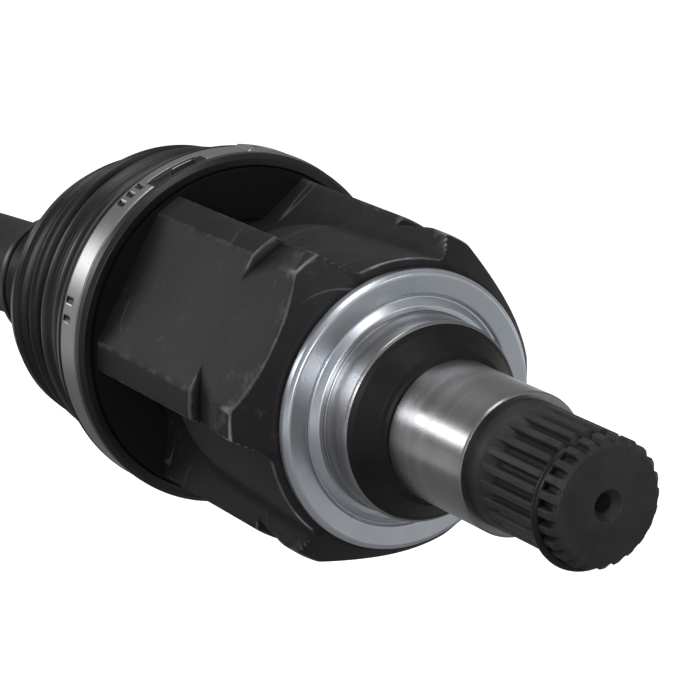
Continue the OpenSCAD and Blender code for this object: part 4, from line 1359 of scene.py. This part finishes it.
@dataclass
class JointBell(SubAssembly):
    """Bell of the ball joint, with its spherical inside, ball tracks, splined stem and thread."""

    title = "ball joint bell and stem"
    mouth: float = -17.0
    seat_r: float = 38.9
    radius: float = 42.5
    sphere: float = 31.2
    pitch: float = 25.5
    track_r: float = 8.75
    stem_r: float = 14.0
    tooth: float = 1.0
    teeth: int = 28
    thread_r: float = 11.0
    thread_pitch: float = 1.5
    thread_depth: float = 0.85
    inside_r: float = 37.2
    bell_sides: int = 288
    spline_sides: int = 448
    thread_sides: int = 128

    def tracks(self, x: Array, turn: Array) -> Array:
        """Reach of the inside at stations and angles, found by halving.

        A point is inside a track where its distance from the ring that the balls run on is
        under the track's radius: the root of (root(x^2 + (r cos a)^2) - pitch)^2 + (r sin a)^2.

        Args:
            x: Stations, down.
            turn: Angles, across.

        Returns:
            The reach of the sphere or of the track, whichever is further.
        """
        off = (turn - math.pi / 2 + math.pi / 6) % (math.pi / 3) - math.pi / 6
        low, high = 20.0 + 0 * (x + turn), 42.0 + 0 * (x + turn)
        for _ in range(22):
            r = (low + high) / 2
            gap = np.hypot(np.hypot(x, r * np.cos(off)) - self.pitch, r * np.sin(off))
            inside = gap < self.track_r
            low, high = np.where(inside, r, low), np.where(inside, high, r)
        ball = np.sqrt(np.maximum(self.sphere**2 - x**2, 0.0)) + 0 * turn
        return np.where(x < 20.5, np.maximum(ball, np.where(low > 20.5, low, 0)), ball)

    def bell(self) -> Piece:
        """Bell: the inside from its deep end out to the mouth, then the outside back to the shoulder."""
        x = stations((30.9, 21, 10), (20.4, self.mouth + 0.6, 40), [self.mouth])
        flare = np.interp(-x, [12, 17], [24.0, 35.8]) * (x < -12)
        inner = np.minimum(np.maximum(self.tracks(x, around(self.bell_sides)), flare), self.inside_r)
        outside = eased_outline([
            (self.mouth, 30), (self.mouth, 37.9), (self.mouth + 1, self.seat_r), (-5, self.seat_r), (-5, 41.7),
            (-4.2, self.radius), (6, self.radius), (7, 42.1), (14, 42.1), (18, 41.1), (23, 37.9), (29, 31.9),
            (33, 29.5), (36.4, 29.5), (37, 28.9), (37, 18.2), (37.5, 15.4), (39, 14.1), (40, 13.9), (40, 0),
        ], [0, 0.3, 0.6, 0.4, 0.4, 0.5, 0.4, 0.5, 4, 5, 6, 3, 2, 0.4, 0.4, 0.4, 1.2, 1.5, 0.3, 0])
        return skin("joint_bell", STEM_LINE, stack(self.bell_sides, (x, inner, 0 * x), outside.rows()))

    def splines(self) -> Piece:
        """Stem splines: teeth behind an eased run out, cut by the end chamfer."""
        x = stations([38.2, 38.6], (39, 45.5, 16), (48, 70, 6), (73, 80.9, 22), [81.2])
        turn = around(self.spline_sides)
        floor = self.stem_r - self.tooth * ease((x - 41.5) / 3.2)
        tooth = self.stem_r - self.tooth + self.tooth * tooth_share(turn, self.teeth, 0.18, 0.36)
        toothed, _ = soft_max(tooth + 0 * x, floor, 0.1)
        line = np.interp(x, [38, 76.6, 78.6, 79.2, 79.8, 82], [self.stem_r, self.stem_r, 12.6, 10.4, 10.0, 10.0])
        radius, crease = soft_min(toothed, line, 0.15)
        edge = 0.5 * tooth_share(turn, self.teeth, 0.1, 0.3) * (x > 42) + 0.3 * crease
        return skin("stem_spline_teeth", STEM_LINE, (x, radius, edge))

    def thread(self) -> Piece:
        """Stem thread: the radius follows a flat topped wave of the station less the angle's share of a pitch."""
        x = stations((80.2, 101.2, 169), (101.35, 102, 6))
        turn = around(self.thread_sides)
        wave = np.abs(((x / self.thread_pitch - turn / (2 * math.pi)) % 1.0) * 2 - 1)
        share = np.clip(1.25 * wave - 0.1, 0, 1)
        full = self.thread_r
        line = np.interp(x, [80, 80.6, 81.6, 100.4, 102], [10.0, 10.0, full, full, 9.4])
        fade = ease(x - 80.8) * ease(102.2 - x)
        radius = np.minimum(line, full - self.thread_depth * share * fade)
        station, drilled, _ = drilled_end(102.0, 9.2)
        parts = (x, radius, 0.4 * (1 - share) * fade), (station, drilled, 0 * drilled)
        return skin("stem_thread_end", STEM_LINE, stack(self.thread_sides, *parts))

    def build(self) -> list[Piece]:
        """Makes the bell, the splines and the thread, each with its own finish."""
        made = (self.bell(), BELL_PAINT), (self.splines(), SPLINE_COAT), (self.thread(), THREAD_ZINC)
        return [self.mount(p, f, "outer_housing", "outer_housing", "bell_paint", Axis.BAR) for p, f in made]


@dataclass
class SealedParts(SubAssembly):
    """Parts inside the two joints, which keep their own solids and get their finish here."""

    title = "sealed parts"
    greased: tuple[str, ...] = (
        "spider", "roller_1", "roller_2", "roller_3", "needle_set_1", "needle_set_2", "needle_set_3",
        "trunnion_washers", "inner_race", "cage", "balls",
    )
    spring: tuple[str, ...] = ("trunnion_clips", "spider_snap_rings", "race_snap_ring")

    def build(self) -> list[Piece]:
        """Dresses the solids in place."""
        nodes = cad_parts
        GREASED_STEEL.dress(*(nodes[n] for n in self.greased), axis=Axis.BAR)
        CLIP_WIRE.dress(*(nodes[n] for n in self.spring), axis=Axis.BAR)
        INSERT_PLASTIC.dress(nodes["boot_insert"])
        return [nodes[n] for n in (*self.greased, *self.spring, "boot_insert")]


# ---------------------------------------------------------------- studio


def grey(level: float) -> tuple[float, ...]:
    """A grey with full cover."""
    return (level, level, level, 1.0)


@dataclass
class Studio:
    """Camera, soft lamps, white surroundings and a pale floor, all in metres."""

    eye: Colour = (0.4454, -0.3177, 0.1877)
    right: Colour = (0.5302, 0.8479, 0.0)
    up: Colour = (-0.2447, 0.1530, 0.9575)
    back: Colour = (0.8118, -0.5077, 0.2886)
    lens: float = 154.29
    joint: Colour = (-0.05, 0.0, 0.0)
    floor_z: float = -0.34
    floor_reach: float = 12.0

    def camera(self) -> None:
        """Sets the camera where the photograph was taken from."""
        data = bpy.data.cameras.new("camera")
        data.lens, data.sensor_width = self.lens, 36.0
        data.clip_start, data.clip_end = 0.01, 50.0
        made = add_object("camera", data)
        turn = Matrix((self.right, self.up, self.back)).transposed()
        made.matrix_world = Matrix.Translation(self.eye) @ turn.to_4x4()
        bpy.context.scene.camera = made

    def lamp(self, name: str, place: Colour, aim: Colour, size: Corner, power: float) -> None:
        """Hangs a rectangular softbox.

        Args:
            name: Name of the lamp.
            place: Where it hangs.
            aim: Point that it faces.
            size: Its width and height.
            power: Its power in watts.
        """
        data = bpy.data.lights.new(name, "AREA")
        data.shape, data.size, data.size_y, data.energy = "RECTANGLE", size[0], size[1], power
        made = add_object(name, data)
        made.location = place
        made.rotation_euler = (Vector(aim) - Vector(place)).to_track_quat("-Z", "Y").to_euler()

    def world(self) -> None:
        """White for the camera, grey that pales upward for the light, and part white in low mirrors."""
        world = bpy.data.worlds.new("studio")
        world.use_nodes = True
        w = Wiring(world.node_tree)
        height = w.put("ShaderNodeSeparateXYZ", {0: w.put("ShaderNodeTexCoord").outputs["Generated"]}).outputs[2]
        room = w.blend(w.spread(height, 0.15, 0.75), grey(0.3), (0.42, 0.42, 0.43, 1.0))
        path = w.put("ShaderNodeLightPath").outputs
        seen = w.sum("MAXIMUM", path["Is Camera Ray"], path["Is Transmission Ray"])
        mirrored = w.times(path["Is Glossy Ray"], w.spread(height, -0.2, 0.3, 0.3, 0.0))
        colour = w.blend(w.sum("MAXIMUM", seen, mirrored), room, WHITE)
        back = w.put("ShaderNodeBackground", {"Color": colour, "Strength": 1.0})
        w.put("ShaderNodeOutputWorld", {0: back.outputs[0]})
        bpy.context.scene.world = world

    def floor(self) -> None:
        """Lays a wide pale floor well below the shaft, plain white where no shadow falls.

        What mirrors it sees a painted shade on it near the shaft, and sees it half lit further away.
        """
        mesh = bpy.data.meshes.new("floor")
        corners = [(x * self.floor_reach, y * self.floor_reach, self.floor_z)
                   for x, y in ((-1, -1), (1, -1), (1, 1), (-1, 1))]
        mesh.from_pydata(corners, [], [(0, 1, 2, 3)])
        made = add_object("floor", mesh)
        material = bpy.data.materials.new("floor_paper")
        material.use_nodes = True
        w = Wiring(material.node_tree)
        path = w.put("ShaderNodeLightPath").outputs
        place = w.put("ShaderNodeNewGeometry").outputs["Position"]
        away = w.put("ShaderNodeVectorMath", {0: place}, operation="LENGTH").outputs["Value"]
        mirrored = w.times(path["Is Glossy Ray"], w.spread(away, 1.08, 1.2, 0.1, 0.5))
        # Painted shade: mirrors see the paper dark near the shaft.
        near = w.times(path["Is Glossy Ray"], w.spread(away, 1.05, 1.14, 0.7, 0.0))
        seen = w.sum("MAXIMUM", w.sum("MAXIMUM", path["Is Camera Ray"], mirrored), path["Is Transmission Ray"])
        paper = w.put("ShaderNodeBsdfDiffuse", {"Color": w.blend(near, grey(0.6), grey(0.04))}).outputs[0]
        glow = w.put("ShaderNodeEmission", {"Color": WHITE, "Strength": 0.9}).outputs[0]
        lit = w.put("ShaderNodeAddShader", {0: paper, 1: glow}).outputs[0]
        mixed = w.put("ShaderNodeMixShader", {0: seen, 1: paper, 2: lit}).outputs[0]
        w.put("ShaderNodeOutputMaterial", {0: mixed})
        mesh.materials.append(material)

    def build(self) -> None:
        """Sets up everything round the shaft."""
        self.camera()
        self.world()
        self.floor()
        self.lamp("top_box", (-0.15, -0.1, 0.95), (-0.15, -0.02, 0.0), (1.3, 0.4), 5.0)
        self.lamp("left_box", (-1.1, -0.68, 0.34), self.joint, (0.5, 0.24), 2.6)
        self.lamp("front_box", (0.85, 0.35, 0.45), self.joint, (0.4, 0.4), 1.2)
        self.lamp("lens_box", (0.77, -0.5, 0.26), self.joint, (0.35, 0.25), 3.6)
        bpy.context.scene.view_settings.view_transform = "Standard"


def main() -> None:
    """Builds the studio, then each sub-assembly in order, and reports its pieces."""
    logging.basicConfig(level=logging.INFO, format="%(message)s")
    Studio().build()
    parts: list[SubAssembly] = [
        TulipHousing(), StubJournals(), StubSplines(), DustShield(), StubCirclip(), InnerBoot(),
        BandClamp("large_band", "inner_large_clamp", "inner_housing", BAND_LINE, at=23.7, width=6.5, inner=38.93,
                  lap_from=97.0, lap_to=133.0, axis=Axis.STUB),
        BandClamp("small_band", "inner_small_clamp", "shaft", BAR_LINE, at=76.8, width=5.1, inner=14.07,
                  lap_from=60.0, lap_to=150.0, axis=Axis.BAR, finish=COATED_BAND),
        DriveBar(), OuterBoot(),
        BandClamp("outer_small_band", "outer_small_clamp", "shaft", OUTER_BOOT_LINE, at=83.6, width=6.4, inner=13.87,
                  lap_from=80.0, lap_to=170.0, axis=Axis.BAR, finish=COATED_BAND),
        BandClamp("outer_large_band", "outer_large_clamp", "outer_housing", OUTER_BOOT_LINE, at=7.4, width=7.0,
                  inner=40.62, lap_from=90.0, lap_to=128.0, axis=Axis.BAR),
        JointBell(), SealedParts(),
    ]
    for part in parts:
        for piece in part.build():
            log.info("%s: %s, %d faces", part.title, piece.name, len(piece.data.polygons))


if __name__ == "__main__":
    main()
